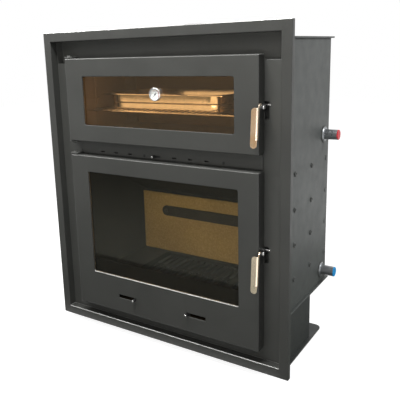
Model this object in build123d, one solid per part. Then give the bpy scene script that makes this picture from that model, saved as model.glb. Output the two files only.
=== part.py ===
from build123d import *
import math
import os

os.makedirs("parts", exist_ok=True)

# Boiler fireplace with an oven above the firebox, built in behind a flat frame.
# +X is the right side seen from the front, +Y goes to the back, +Z is up.
# The origin is the centre of the base plate's underside.
# Depths are counted backwards from the front face of the frame.

# Base
BASE_PLATE_INSET = 1.0
BASE_PLATE_DEPTH = 362.0
BASE_PLATE_THICKNESS = 4.0
BASE_PLATE_CORNER = 22.0
BASE_SETBACK = 44.0
BASE_BOX_INSET = 13.5
BASE_BOX_REAR = 316.0
BASE_BOX_SHEET = 3.0
BASE_BOLT_INSET = 14.0
BASE_BOLT_HEIGHT = 46.0
BASE_BOLT_RADIUS = 6.0
BASE_BOLT_LENGTH = 9.0
ASH_SHELF_HEIGHT = 108.0

# Frame round the front
FRAME_WIDTH = 912.0
FRAME_HEIGHT = 1040.0
FRAME_BOTTOM = 21.0
FRAME_BAND = 30.0
FRAME_RETURN = 16.0
FRAME_REVEAL = 28.4
FRAME_SHEET = 2.5
RECESS_DEPTH = 58.0
RECESS_SHEET = 2.0

# Face plate that carries the doors
FACE_SHEET = 3.0
FACE_LAP = 15.5

# Boiler body
BODY_INSET = 8.0
BODY_REAR = 426.0
BODY_BOTTOM = 189.0
BODY_DROP = 48.0
BODY_SHEET = 4.0
LID_SHEET = 5.0
FLANGE_SHEET = 4.0
OVERHANG = 8.0
SIDE_WATER_GAP = 76.0
REAR_WATER_GAP = 39.0

# Doors, with the clear strip left open on each side of them
CLEAR_LEFT = 71.0
CLEAR_RIGHT = 61.0
CLEAR_BOTTOM = 41.0
CLEAR_TOP = 58.0
DOOR_FRONT = -9.0
DOOR_THICKNESS = 34.0
DOOR_SHEET = 3.0
DOOR_BEND = 2.8
DOOR_GAP = 50.0
OVEN_DOOR_HEIGHT = 278.0
HINGE_STILE = 74.0
OVEN_LATCH_STILE = 76.0
FIRE_LATCH_STILE = 66.0
OVEN_RAIL_TOP = 59.0
OVEN_RAIL_BOTTOM = 56.5
FIRE_RAIL_TOP = 55.5
FIRE_RAIL_BOTTOM = 132.0
WINDOW_CORNER = 6.0

# Glass and its seats
GLASS_THICKNESS = 4.0
GLASS_LAP = 10.0
GLASS_SEAL = 1.5
CLIP_SHEET = 2.0
CLIP_LAP = 9.0
CLIP_LEG = 2.6
CLIP_GAP = 0.4

# Rope seal and the mouth rims that it closes on
MOUTH_INSET = 42.0
MOUTH_INSET_Z = 26.0
MOUTH_CORNER = 18.0
RIM_SHEET = 3.0
RIM_FRONT = 16.0
ROPE_WIDTH = 11.6
ROPE_THICKNESS = 10.0
ROPE_GAP = 0.3
CHANNEL_SHEET = 1.5

# Hinges
HINGE_INSET = 9.0
HINGE_DEPTH = 4.0
HINGE_PIN_RADIUS = 4.0
HINGE_CLEARANCE = 0.08
HINGE_BUSH_RADIUS = 7.0
HINGE_BUSH_LENGTH = 14.0
LUG_SHEET = 5.0
LUG_WIDTH = 34.0
LUG_GAP = 1.5
PIN_HEAD_RADIUS = 6.5
PIN_HEAD_HEIGHT = 4.0

# Handles and latches
PIVOT_DEPTH = 8.0
OVEN_PIVOT_DROP = 144.0
FIRE_PIVOT_DROP = 243.0
LEVER_SHEET = 3.0
LEVER_SPACER = 2.0
LEVER_BOSS_RADIUS = 11.0
PIVOT_RADIUS = 4.0
PIVOT_CLEARANCE = 0.08
BOLT_HEAD_RADIUS = 6.5
BOLT_HEAD_LENGTH = 5.0
SPACER_RADIUS = 9.0
NUT_RADIUS = 7.5
NUT_LENGTH = 6.5
GRIP_WIDTH = 20.0
GRIP_DEPTH = 12.0
GRIP_LENGTH = 111.0
GRIP_DROP = 1.5
GRIP_REACH = 36.0
GRIP_SHEET = 2.0
GRIP_BEND = 5.0
GRIP_STEP = 23.0
NECK_RISE = 9.0
NECK_WIDTH = 6.0
REST_LEAN = 5.0
KEEPER_RADIUS = 3.5
KEEPER_LENGTH = 24.0
KEEPER_RISE = 4.8
LATCH_SLOT_WIDTH = 14.0
LATCH_SLOT_OFFSET = 4.0
LATCH_SLOT_BELOW = 36.0
LATCH_SLOT_ABOVE = 14.5
POCKET_DEPTH = 22.0
POCKET_SHEET = 1.5
LIP_GAP = 0.6
LIP_CLEARANCE = 1.0
LIP_THICKNESS = 5.0
NOSE_UNDER = 4.2

# Primary air slots in the fire door
AIR_SLOT_INNER = 102.0
AIR_SLOT_LENGTH = 74.0
AIR_SLOT_HEIGHT = 13.0
AIR_SLOT_RISE = 60.0
AIR_SLIDER_HEIGHT = 26.0
AIR_SLIDER_LENGTH = 74.0
AIR_SLIDER_SHEET = 2.0
SLIDER_GAP = 0.3
RAIL_LIP = 3.0
KNOB_RADIUS = 5.0
KNOB_LENGTH = 10.0
KNOB_EDGE = 1.2
KNOB_SHANK = 2.5

# Secondary air strip between the doors
STRIP_COVER = 2.0
STRIP_POCKET = 3.0
STRIP_EDGE = 3.0
STRIP_SLIDER_SHEET = 2.0
STRIP_SLIDER_HEIGHT = 24.0
STRIP_SLOT_PITCH = 58.8
STRIP_SLOT_LENGTH = 16.0
STRIP_SLOT_HEIGHT = 3.4
STRIP_SLOT_RISE = 12.5
STRIP_KNOB_X = -18.0
STRIP_TRAVEL = 20.0

# Firebox
FIREBOX_SHEET = 5.0
JACKET_RISE = 50.0
JACKET_SHEET = 4.0
BACK_PLATE_SHEET = 6.0
BACK_PLATE_HEIGHT = 241.0
STRAP_LENGTH = 476.0
STRAP_HEIGHT = 41.0
STRAP_RISE = 171.0
STRAP_SHEET = 5.0
GRATE_WIDTH = 380.0
GRATE_DEPTH = 240.0
GRATE_THICKNESS = 14.0
GRATE_SLOTS = 13
GUARD_HEIGHT = 62.0
GUARD_SHEET = 6.0
GUARD_SETBACK = 12.0
GUARD_FOOT = 28.0
BAFFLE_SHEET = 6.0
BAFFLE_FRONT = 108.0
BAFFLE_DROP = 53.0
BAFFLE_GAP = 14.0
ASH_PAN_WIDTH = 420.0
ASH_PAN_FRONT_GAP = 10.0
ASH_PAN_REAR_GAP = 9.0
ASH_PAN_TOP_GAP = 15.0
ASH_PAN_SHEET = 1.5
PULL_WIDTH = 90.0
PULL_REACH = 22.0
PULL_BAR = 6.0
PULL_RISE = 34.0
STAY_PITCH_Y = 138.0
STAY_PITCH_Z = 111.0
STAY_REAR_INSET = 21.0
STAY_FIRST_RISE = 99.0
STAY_RADIUS = 7.0
STAY_WELD_RADIUS = 8.0
STAY_WELD_RISE = 1.6

# Cross tubes that carry water over the fire
TUBE_RADIUS = 21.2
TUBE_WALL = 3.0
TUBE_COUNT = 4
TUBE_PITCH = 54.0
TUBE_REAR_INSET = 28.0
TUBE_DROP = 40.0

# Oven
LINER_GAP = 5.0
LINER_STEP = 3.0
LINER_SHEET = 2.0
LINER_REAR_GAP = 33.0
GUIDE_WIDTH = 12.0
GUIDE_SHEET = 2.0
GUIDE_TAB = 10.0
GUIDE_LEVELS = 3
GUIDE_PITCH = 42.0
GUIDE_INSET = 50.0
RACK_RISE = 99.0
RACK_BORDER = 3.0
RACK_WIRE = 1.6
RACK_PITCH = 22.0
RACK_FRONT = 62.0
RACK_REAR_GAP = 13.0
RACK_SIDE_GAP = 1.4
TRAY_WIDTH = 460.0
TRAY_HEIGHT = 54.0
TRAY_SHEET = 1.4
TRAY_RIM = 10.0
TRAY_RIM_THICKNESS = 2.6
TRAY_RIM_CORNER = 12.0
TRAY_CORNER = 58.0
TRAY_STEP = 2.5
TRAY_TAPER = 2.0
TRAY_FOOT = 7.0
TRAY_INSET = 13.0
TRAY_CENTRE_X = -30.0

# Thermometer on the oven glass
THERMOMETER_X = 18.0
THERMOMETER_RISE = 165.0
DIAL_RADIUS = 18.4
CASE_RADIUS = 21.0
CASE_DEPTH = 9.5
CASE_WALL = 1.6
CASE_EDGE = 2.2
CASE_FLOOR = 2.0
BEZEL = 1.0
BEZEL_LAP = 0.6
STEM_RADIUS = 4.5
STEM_THREAD = 9.0
STEM_LENGTH = 26.0
STEM_NUT_RADIUS = 8.0
STEM_NUT_LENGTH = 4.5
PROBE_RADIUS = 2.7
DIAL_SHEET = 0.8
LENS_SHEET = 1.2
SPINDLE_RADIUS = 1.0
SPINDLE_GAP = 0.1
NEEDLE_SHEET = 0.6
NEEDLE_LIFT = 2.0
NEEDLE_HUB = 2.4
NEEDLE_TAIL = 6.0
NEEDLE_TIP_GAP = 4.0
NEEDLE_TURN = 135.0

# Flue and water pipes
FLUE_RADIUS = 75.0
FLUE_WALL = 3.0
FLUE_HEIGHT = 57.0
FLUE_REAR_INSET = 108.0
FLUE_FLANGE = 18.0
PIPE_RADIUS = 16.85
PIPE_WALL = 3.2
PIPE_LENGTH = 46.0
PIPE_REAR_INSET = 47.0
HOT_PIPE_DROP = 40.0
RETURN_PIPE_RISE = 42.0
PIPE_COLLAR = 8.5
PIPE_COLLAR_LENGTH = 5.0
PLUG_FLANGE = 3.0
PLUG_LENGTH = 13.0
PLUG_GAP = 0.35
PLUG_WALL = 1.8

# How far a cut runs past the sheet that it goes through
CUT = 1.0

# Levels and depths worked out from the sizes above
FRONT = -BASE_PLATE_DEPTH / 2 - BASE_SETBACK
FACE_FRONT = FRAME_REVEAL
FACE_REAR = FACE_FRONT + FACE_SHEET
DOOR_REAR = DOOR_FRONT + DOOR_THICKNESS
PANEL_BACK = DOOR_FRONT + DOOR_SHEET
HALF_OPENING = FRAME_WIDTH / 2 - FRAME_BAND
FRAME_TOP = FRAME_BOTTOM + FRAME_HEIGHT
OPENING_BOTTOM = FRAME_BOTTOM + FRAME_BAND
OPENING_TOP = FRAME_TOP - FRAME_BAND
DOOR_LEFT = -HALF_OPENING + CLEAR_LEFT
DOOR_RIGHT = HALF_OPENING - CLEAR_RIGHT
DOOR_CENTRE_X = (DOOR_LEFT + DOOR_RIGHT) / 2
OVEN_DOOR_TOP = OPENING_TOP - CLEAR_TOP
OVEN_DOOR_BOTTOM = OVEN_DOOR_TOP - OVEN_DOOR_HEIGHT
FIRE_DOOR_TOP = OVEN_DOOR_BOTTOM - DOOR_GAP
FIRE_DOOR_BOTTOM = OPENING_BOTTOM + CLEAR_BOTTOM
FACE_TOP = OVEN_DOOR_TOP - FACE_LAP
HINGE_X = DOOR_LEFT + HINGE_INSET
MOUTH_LEFT = DOOR_LEFT + MOUTH_INSET
MOUTH_RIGHT = DOOR_RIGHT - MOUTH_INSET
FIRE_MOUTH = (MOUTH_LEFT, MOUTH_RIGHT, FIRE_DOOR_BOTTOM + MOUTH_INSET_Z, FIRE_DOOR_TOP - MOUTH_INSET_Z)
OVEN_MOUTH = (MOUTH_LEFT, MOUTH_RIGHT, OVEN_DOOR_BOTTOM + MOUTH_INSET_Z, OVEN_DOOR_TOP - MOUTH_INSET_Z)
FIRE_WINDOW = (DOOR_LEFT + HINGE_STILE, DOOR_RIGHT - FIRE_LATCH_STILE,
               FIRE_DOOR_BOTTOM + FIRE_RAIL_BOTTOM, FIRE_DOOR_TOP - FIRE_RAIL_TOP)
OVEN_WINDOW = (DOOR_LEFT + HINGE_STILE, DOOR_RIGHT - OVEN_LATCH_STILE,
               OVEN_DOOR_BOTTOM + OVEN_RAIL_BOTTOM, OVEN_DOOR_TOP - OVEN_RAIL_TOP)
GLASS_FRONT = PANEL_BACK + GLASS_SEAL
GLASS_BACK = GLASS_FRONT + GLASS_THICKNESS
LEVER_LEFT = DOOR_RIGHT + LEVER_SPACER
LEVER_RIGHT = LEVER_LEFT + LEVER_SHEET
OVEN_PIVOT_Z = OVEN_DOOR_TOP - OVEN_PIVOT_DROP
FIRE_PIVOT_Z = FIRE_DOOR_TOP - FIRE_PIVOT_DROP
KEEPER_DEPTH = FACE_FRONT + FACE_SHEET / 2
LATCH_SLOT_X = (LEVER_LEFT + LEVER_RIGHT) / 2 + LATCH_SLOT_OFFSET
HALF_BODY = HALF_OPENING - BODY_INSET
BODY_TOP = FRAME_TOP - BODY_DROP
FIREBOX_RIGHT = HALF_BODY - BODY_SHEET - SIDE_WATER_GAP - FIREBOX_SHEET
FIREBOX_LEFT = -FIREBOX_RIGHT
FIREBOX_REAR = BODY_REAR - BODY_SHEET - REAR_WATER_GAP - FIREBOX_SHEET
JACKET_TOP = OVEN_DOOR_BOTTOM + JACKET_RISE
TUBE_Z = OVEN_DOOR_BOTTOM - TUBE_DROP
LINER_REAR = FIREBOX_REAR - LINER_REAR_GAP
RACK_Z = OVEN_DOOR_BOTTOM + RACK_RISE
RACK_REAR = LINER_REAR - LINER_SHEET - RACK_REAR_GAP
THERMOMETER_Z = OVEN_DOOR_BOTTOM + THERMOMETER_RISE
FLUE_DEPTH = BODY_REAR - FLUE_REAR_INSET
PIPE_DEPTH = BODY_REAR - PIPE_REAR_INSET
HOT_PIPE_Z = JACKET_TOP - HOT_PIPE_DROP
RETURN_PIPE_Z = BODY_BOTTOM + RETURN_PIPE_RISE
AIR_SLOT_Z = FIRE_DOOR_BOTTOM + AIR_SLOT_RISE
STRIP_SLOT_Z = FIRE_DOOR_TOP + STRIP_SLOT_RISE
FLOOR_TOP = BODY_BOTTOM


def block(x0, x1, d0, d1, z0, z1):
    """A box between two corners; d0 and d1 are depths behind the frame's front face."""
    centre = Pos((x0 + x1) / 2, FRONT + (d0 + d1) / 2, (z0 + z1) / 2)
    return centre * Box(x1 - x0, d1 - d0, z1 - z0)


def panel(area, d0, d1, corner=0.0):
    """An upright plate with rounded corners; area is x0, x1, z0, z1."""
    x0, x1, z0, z1 = area
    plate = block(x0, x1, d0, d1, z0, z1)
    if corner > 0:
        plate = fillet(plate.edges().filter_by(Axis.Y), corner)
    return plate


def grown(area, by):
    """The same area with every side moved outwards."""
    x0, x1, z0, z1 = area
    return (x0 - by, x1 + by, z0 - by, z1 + by)


def upright_ring(area, wall, d0, d1, corner):
    """A sheet ring standing inside an area, its wall counted inwards."""
    inner = grown(area, -wall)
    ring = panel(area, d0, d1, corner)
    return ring - panel(inner, d0 - 1, d1 + 1, max(corner - wall, 0.5))


def rod_x(x0, x1, depth, z, radius):
    return Pos((x0 + x1) / 2, FRONT + depth, z) * Rot(0, 90, 0) * Cylinder(radius, x1 - x0)


def rod_y(x, d0, d1, z, radius):
    return Pos(x, FRONT + (d0 + d1) / 2, z) * Rot(90, 0, 0) * Cylinder(radius, d1 - d0)


def rod_z(x, depth, z0, z1, radius):
    return Pos(x, FRONT + depth, (z0 + z1) / 2) * Cylinder(radius, z1 - z0)


def side_plate(points, x0, x1):
    """A plate in the YZ plane from an outline of depth and height points."""
    outline = Polyline(*[(FRONT + d, z) for d, z in points], close=True)
    face = make_face(Plane.YZ * outline)
    return Pos(x0, 0, 0) * extrude(face, x1 - x0, dir=(1, 0, 0))


def save(node, *solids):
    """Write one node, as one solid or as a group of separate solids."""
    pieces = []
    for item in solids:
        pieces.extend(item.solids())
    shape = pieces[0] if len(pieces) == 1 else Compound(children=pieces)
    export_step(shape, f"parts/{node}.step")


def base():
    """Floor plate, and the sheet box on it that holds the ash pan."""
    half = HALF_BODY - BASE_PLATE_INSET
    plate_rear = BASE_SETBACK + BASE_PLATE_DEPTH
    plate = block(-half, half, BASE_SETBACK, plate_rear, 0, BASE_PLATE_THICKNESS)
    plate = fillet(plate.edges().filter_by(Axis.Z), BASE_PLATE_CORNER)
    save("base_plate", plate)

    half = HALF_BODY - BASE_BOX_INSET
    top = BODY_BOTTOM - FLANGE_SHEET
    sheet = BASE_BOX_SHEET
    walls = block(-half, half, FACE_REAR, BASE_BOX_REAR, BASE_PLATE_THICKNESS, top)
    walls -= block(-half + sheet, half - sheet, FACE_REAR - 1, BASE_BOX_REAR - sheet, 0, top + 1)
    sill_top = FIRE_MOUTH[2]
    walls += block(-half, half, BASE_SETBACK, BASE_SETBACK + sheet, BASE_PLATE_THICKNESS, sill_top)
    walls -= block(-half - 1, half + 1, FACE_REAR - 1, BASE_SETBACK, 0, OPENING_BOTTOM)
    shelf = block(-half + sheet, half - sheet, BASE_SETBACK + sheet, BASE_BOX_REAR - sheet,
                  ASH_SHELF_HEIGHT - sheet, ASH_SHELF_HEIGHT)
    save("base_box", walls + shelf)


def boiler_shells():
    """Outer skin, lid, bottom flange and the inner water wall."""
    half = HALF_BODY
    recess_rear = RECESS_DEPTH + RECESS_SHEET
    skin = block(-half, half, FACE_REAR, BODY_REAR, BODY_BOTTOM, BODY_TOP)
    skin = fillet(skin.edges().filter_by(Axis.Z).sort_by(Axis.Y)[-2:], BODY_SHEET)
    skin -= block(-half + BODY_SHEET, half - BODY_SHEET, FACE_REAR - 1, BODY_REAR - BODY_SHEET,
                  BODY_BOTTOM - 1, BODY_TOP + 1)
    skin -= block(-half - 1, half + 1, FACE_REAR - 1, recess_rear, FACE_TOP - RECESS_SHEET, BODY_TOP + 1)
    for z in (HOT_PIPE_Z, RETURN_PIPE_Z):
        skin -= rod_x(half - BODY_SHEET - 1, half + 1, PIPE_DEPTH, z, PIPE_RADIUS)
    for side in (-1, 1):
        for column in range(3):
            for row in range(4):
                depth = BODY_REAR - STAY_REAR_INSET - column * STAY_PITCH_Y
                z = BODY_BOTTOM + STAY_FIRST_RISE + row * STAY_PITCH_Z
                inner, outer = side * half, side * (half + STAY_WELD_RISE)
                skin += rod_x(min(inner, outer), max(inner, outer), depth, z, STAY_WELD_RADIUS)
    for x, z in rear_stay_places():
        skin += rod_y(x, BODY_REAR, BODY_REAR + STAY_WELD_RISE, z, STAY_WELD_RADIUS)
    save("outer_shell", skin)

    lid = block(-half - OVERHANG, half + OVERHANG, recess_rear, BODY_REAR + OVERHANG,
                BODY_TOP, BODY_TOP + LID_SHEET)
    lid -= rod_z(0, FLUE_DEPTH, BODY_TOP - 1, BODY_TOP + LID_SHEET + 1, FLUE_RADIUS)
    save("lid_plate", lid)

    flange = block(-half - OVERHANG, half + OVERHANG, FACE_REAR, BODY_REAR + OVERHANG,
                   BODY_BOTTOM - FLANGE_SHEET, BODY_BOTTOM)
    flange -= grate_opening(BODY_BOTTOM - FLANGE_SHEET - 1, BODY_BOTTOM + 1)
    save("bottom_flange", flange)

    wall = FIREBOX_SHEET
    x0, x1 = FIREBOX_LEFT - wall, FIREBOX_RIGHT + wall
    shell = block(x0, x1, FACE_REAR, FIREBOX_REAR + wall, BODY_BOTTOM, JACKET_TOP)
    shell -= block(x0 + wall, x1 - wall, FACE_REAR - 1, FIREBOX_REAR, BODY_BOTTOM - 1, JACKET_TOP + 1)
    ring = block(-half + BODY_SHEET, half - BODY_SHEET, FACE_REAR, BODY_REAR - BODY_SHEET,
                 JACKET_TOP, JACKET_TOP + JACKET_SHEET)
    ring -= block(x0 + wall, x1 - wall, FACE_REAR - 1, FIREBOX_REAR, JACKET_TOP - 1,
                  JACKET_TOP + JACKET_SHEET + 1)
    shell += ring
    for depth in tube_depths():
        shell -= rod_x(x0 - 1, x1 + 1, depth, TUBE_Z, TUBE_RADIUS)
    save("firebox_shell", shell)


def tube_depths():
    """Depths of the water tubes that cross the firebox."""
    last = FIREBOX_REAR - TUBE_REAR_INSET
    return [last - index * TUBE_PITCH for index in range(TUBE_COUNT)]


def rear_stay_places():
    """Places of the stays in the rear water wall."""
    places = []
    for column in range(5):
        for row in range(4):
            z = BODY_BOTTOM + STAY_FIRST_RISE + row * STAY_PITCH_Z
            places.append(((column - 2) * STAY_PITCH_Y, z))
    return places


def stays():
    """Round stays that tie the outer skin to the inner water wall."""
    right = []
    for column in (1, 2):
        for row in range(4):
            depth = BODY_REAR - STAY_REAR_INSET - column * STAY_PITCH_Y
            z = BODY_BOTTOM + STAY_FIRST_RISE + row * STAY_PITCH_Z
            right.append(rod_x(FIREBOX_RIGHT + FIREBOX_SHEET, HALF_BODY - BODY_SHEET, depth, z, STAY_RADIUS))
            right.append(rod_x(-HALF_BODY + BODY_SHEET, FIREBOX_LEFT - FIREBOX_SHEET, depth, z, STAY_RADIUS))
    save("side_stays", *right)
    rear = []
    for x, z in rear_stay_places():
        rear.append(rod_y(x, FIREBOX_REAR + FIREBOX_SHEET, BODY_REAR - BODY_SHEET, z, STAY_RADIUS))
    save("rear_stays", *rear)

    tubes = []
    reach = FIREBOX_RIGHT + FIREBOX_SHEET
    for depth in tube_depths():
        tube = rod_x(-reach, reach, depth, TUBE_Z, TUBE_RADIUS)
        tubes.append(tube - rod_x(-reach - 1, reach + 1, depth, TUBE_Z, TUBE_RADIUS - TUBE_WALL))
    save("water_tubes", *tubes)


def grate_opening(z0, z1):
    """The hole in the boiler floor under the grate."""
    lap = 12.0
    x0 = -GRATE_WIDTH / 2 + lap
    x1 = GRATE_WIDTH / 2 - lap
    middle = (FACE_REAR + FIREBOX_REAR) / 2
    return block(x0, x1, middle - GRATE_DEPTH / 2 + lap, middle + GRATE_DEPTH / 2 - lap, z0, z1)


def firebox_fittings():
    """Back plate with its strap, baffle, grate, log guard and ash pan."""
    back = block(FIREBOX_LEFT, FIREBOX_RIGHT, FIREBOX_REAR - BACK_PLATE_SHEET, FIREBOX_REAR,
                 FLOOR_TOP, FLOOR_TOP + BACK_PLATE_HEIGHT)
    save("back_plate", back)

    strap_z = FLOOR_TOP + STRAP_RISE
    strap_rear = FIREBOX_REAR - BACK_PLATE_SHEET
    strap_front = strap_rear - STRAP_SHEET
    area = (-STRAP_LENGTH / 2, STRAP_LENGTH / 2,
            strap_z - STRAP_HEIGHT / 2, strap_z + STRAP_HEIGHT / 2)
    strap = panel(area, strap_front, strap_rear, STRAP_HEIGHT / 2 - 0.1)
    save("back_strap", strap)

    x0, x1 = FIREBOX_LEFT + 2, FIREBOX_RIGHT - 2
    rear, low = FIREBOX_REAR - 2, FLOOR_TOP + BACK_PLATE_HEIGHT + BAFFLE_GAP
    front, high = BAFFLE_FRONT, FIRE_DOOR_TOP - BAFFLE_DROP
    slope = math.hypot(rear - front, high - low)
    rise = BAFFLE_SHEET * (rear - front) / slope
    run = BAFFLE_SHEET * (high - low) / slope
    outline = [(rear, low), (front, high), (front + run, high + rise), (rear, low + rise + 2)]
    baffle = side_plate(outline, x0, x1)
    save("baffle_plate", baffle)

    middle = (FACE_REAR + FIREBOX_REAR) / 2
    x0, x1 = -GRATE_WIDTH / 2, GRATE_WIDTH / 2
    d0, d1 = middle - GRATE_DEPTH / 2, middle + GRATE_DEPTH / 2
    grate = block(x0, x1, d0, d1, FLOOR_TOP, FLOOR_TOP + GRATE_THICKNESS)
    grate = fillet(grate.edges().filter_by(Axis.Z), 10)
    border = 24.0
    pitch = (GRATE_WIDTH - 2 * border) / GRATE_SLOTS
    for index in range(GRATE_SLOTS):
        x = x0 + border + (index + 0.5) * pitch
        for side in (-1, 1):
            near, far = sorted((middle + side * border / 4, middle + side * (GRATE_DEPTH / 2 - border)))
            grate -= block(x - pitch * 0.27, x + pitch * 0.27, near, far,
                           FLOOR_TOP - 1, FLOOR_TOP + GRATE_THICKNESS + 1)
    save("grate", grate)

    guard_front = FACE_REAR + GUARD_SETBACK
    guard = block(FIREBOX_LEFT + 4, FIREBOX_RIGHT - 4, guard_front, guard_front + GUARD_SHEET,
                  FLOOR_TOP, FLOOR_TOP + GUARD_HEIGHT)
    guard += block(FIREBOX_LEFT + 4, FIREBOX_RIGHT - 4, guard_front, guard_front + GUARD_FOOT,
                   FLOOR_TOP, FLOOR_TOP + GUARD_SHEET)
    save("log_guard", guard)

    x0, x1 = -ASH_PAN_WIDTH / 2, ASH_PAN_WIDTH / 2
    d0 = BASE_SETBACK + ASH_PAN_FRONT_GAP
    d1 = BASE_BOX_REAR - BASE_BOX_SHEET - ASH_PAN_REAR_GAP
    z0, z1 = ASH_SHELF_HEIGHT, BODY_BOTTOM - FLANGE_SHEET - ASH_PAN_TOP_GAP
    sheet = ASH_PAN_SHEET
    pan = block(x0, x1, d0, d1, z0, z1)
    pan -= block(x0 + sheet, x1 - sheet, d0 + sheet, d1 - sheet, z0 + sheet, z1 + 1)
    half, low = PULL_WIDTH / 2, z0 + PULL_RISE
    pull = block(-half, half, d0 - PULL_REACH, d0, low, low + PULL_BAR)
    pull -= block(-half + PULL_BAR, half - PULL_BAR, d0 - PULL_REACH + PULL_BAR, d0,
                  low - CUT, low + PULL_BAR + CUT)
    save("ash_pan", pan + pull)


def front_plate():
    """Face plate with the two mouths, latch slots and air slots, and the mouth rims."""
    edge = HALF_OPENING + FRAME_SHEET
    bottom = OPENING_BOTTOM - FRAME_SHEET
    face = block(-edge, edge, FACE_FRONT, FACE_REAR, bottom, FACE_TOP)
    for mouth in (FIRE_MOUTH, OVEN_MOUTH):
        face -= panel(mouth, FACE_FRONT - 1, FACE_REAR + 1, MOUTH_CORNER)
    for pivot_z in (FIRE_PIVOT_Z, OVEN_PIVOT_Z):
        slot = (LATCH_SLOT_X - LATCH_SLOT_WIDTH / 2, LATCH_SLOT_X + LATCH_SLOT_WIDTH / 2,
                pivot_z - LATCH_SLOT_BELOW, pivot_z + LATCH_SLOT_ABOVE)
        face -= panel(slot, FACE_FRONT - 1, FACE_REAR + 1, 1.5)
        keeper_z = pivot_z + KEEPER_RISE
        face -= block(LATCH_SLOT_X - KEEPER_LENGTH / 2, LATCH_SLOT_X + KEEPER_LENGTH / 2,
                      FACE_FRONT - 1, FACE_REAR + 1, keeper_z - KEEPER_RADIUS, keeper_z + KEEPER_RADIUS)
    for x in strip_slots():
        face -= slot_cut(x, STRIP_SLOT_Z, FACE_FRONT - 1, FACE_REAR + 1)
    save("face_plate", face)
    save("fire_mouth_rim", upright_ring(FIRE_MOUTH, RIM_SHEET, RIM_FRONT, FACE_REAR, MOUTH_CORNER))
    save("oven_mouth_rim", upright_ring(OVEN_MOUTH, RIM_SHEET, RIM_FRONT, FACE_REAR, MOUTH_CORNER))

    pockets = []
    for pivot_z in (FIRE_PIVOT_Z, OVEN_PIVOT_Z):
        inside = (LATCH_SLOT_X - KEEPER_LENGTH / 2, LATCH_SLOT_X + KEEPER_LENGTH / 2,
                  pivot_z - LATCH_SLOT_BELOW, pivot_z + LATCH_SLOT_ABOVE)
        pocket = panel(grown(inside, POCKET_SHEET), FACE_REAR, FACE_REAR + POCKET_DEPTH)
        pocket -= panel(inside, FACE_REAR - 1, FACE_REAR + POCKET_DEPTH - POCKET_SHEET)
        pocket -= keeper(pivot_z)
        pockets.append(pocket)
    save("latch_pockets", *pockets)
    save("keeper_pins", keeper(FIRE_PIVOT_Z), keeper(OVEN_PIVOT_Z))


def frame():
    """Flat frame with its outer return and inner reveal, and the recess above the oven door."""
    half = FRAME_WIDTH / 2
    sheet = FRAME_SHEET
    outer = (-half, half, FRAME_BOTTOM, FRAME_TOP)
    opening = (-HALF_OPENING, HALF_OPENING, OPENING_BOTTOM, OPENING_TOP)
    surround = panel(outer, 0, sheet) - panel(opening, -1, sheet + 1)
    returns = panel(outer, 0, FRAME_RETURN) - panel(grown(outer, -sheet), -1, FRAME_RETURN + 1)
    reveal = panel(grown(opening, sheet), 0, FRAME_REVEAL) - panel(opening, -1, FRAME_REVEAL + 1)
    save("frame_surround", surround + returns + reveal)

    x1 = HALF_OPENING + sheet
    rear = RECESS_DEPTH + RECESS_SHEET
    top = OPENING_TOP + sheet
    hood = block(-x1, x1, FACE_REAR, rear, FACE_TOP - RECESS_SHEET, top)
    hood -= block(-HALF_OPENING, HALF_OPENING, FACE_REAR - 1, RECESS_DEPTH, FACE_TOP, OPENING_TOP)
    lip = block(-x1, x1, FACE_FRONT, FACE_REAR, FACE_TOP, top)
    lip -= block(-HALF_OPENING, HALF_OPENING, FACE_FRONT - 1, FACE_REAR + 1, FACE_TOP - 1, OPENING_TOP)
    save("top_recess_panel", hood + lip)


def strip_slots():
    """Places of the secondary air slots along the strip."""
    return [index * STRIP_SLOT_PITCH for index in (-4, -3, -2, 1, 2, 3)]


def slot_cut(x, z, d0, d1):
    """A short air slot with round ends."""
    area = (x - STRIP_SLOT_LENGTH / 2, x + STRIP_SLOT_LENGTH / 2,
            z - STRIP_SLOT_HEIGHT / 2, z + STRIP_SLOT_HEIGHT / 2)
    return panel(area, d0, d1, STRIP_SLOT_HEIGHT / 2 - 0.1)


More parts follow.
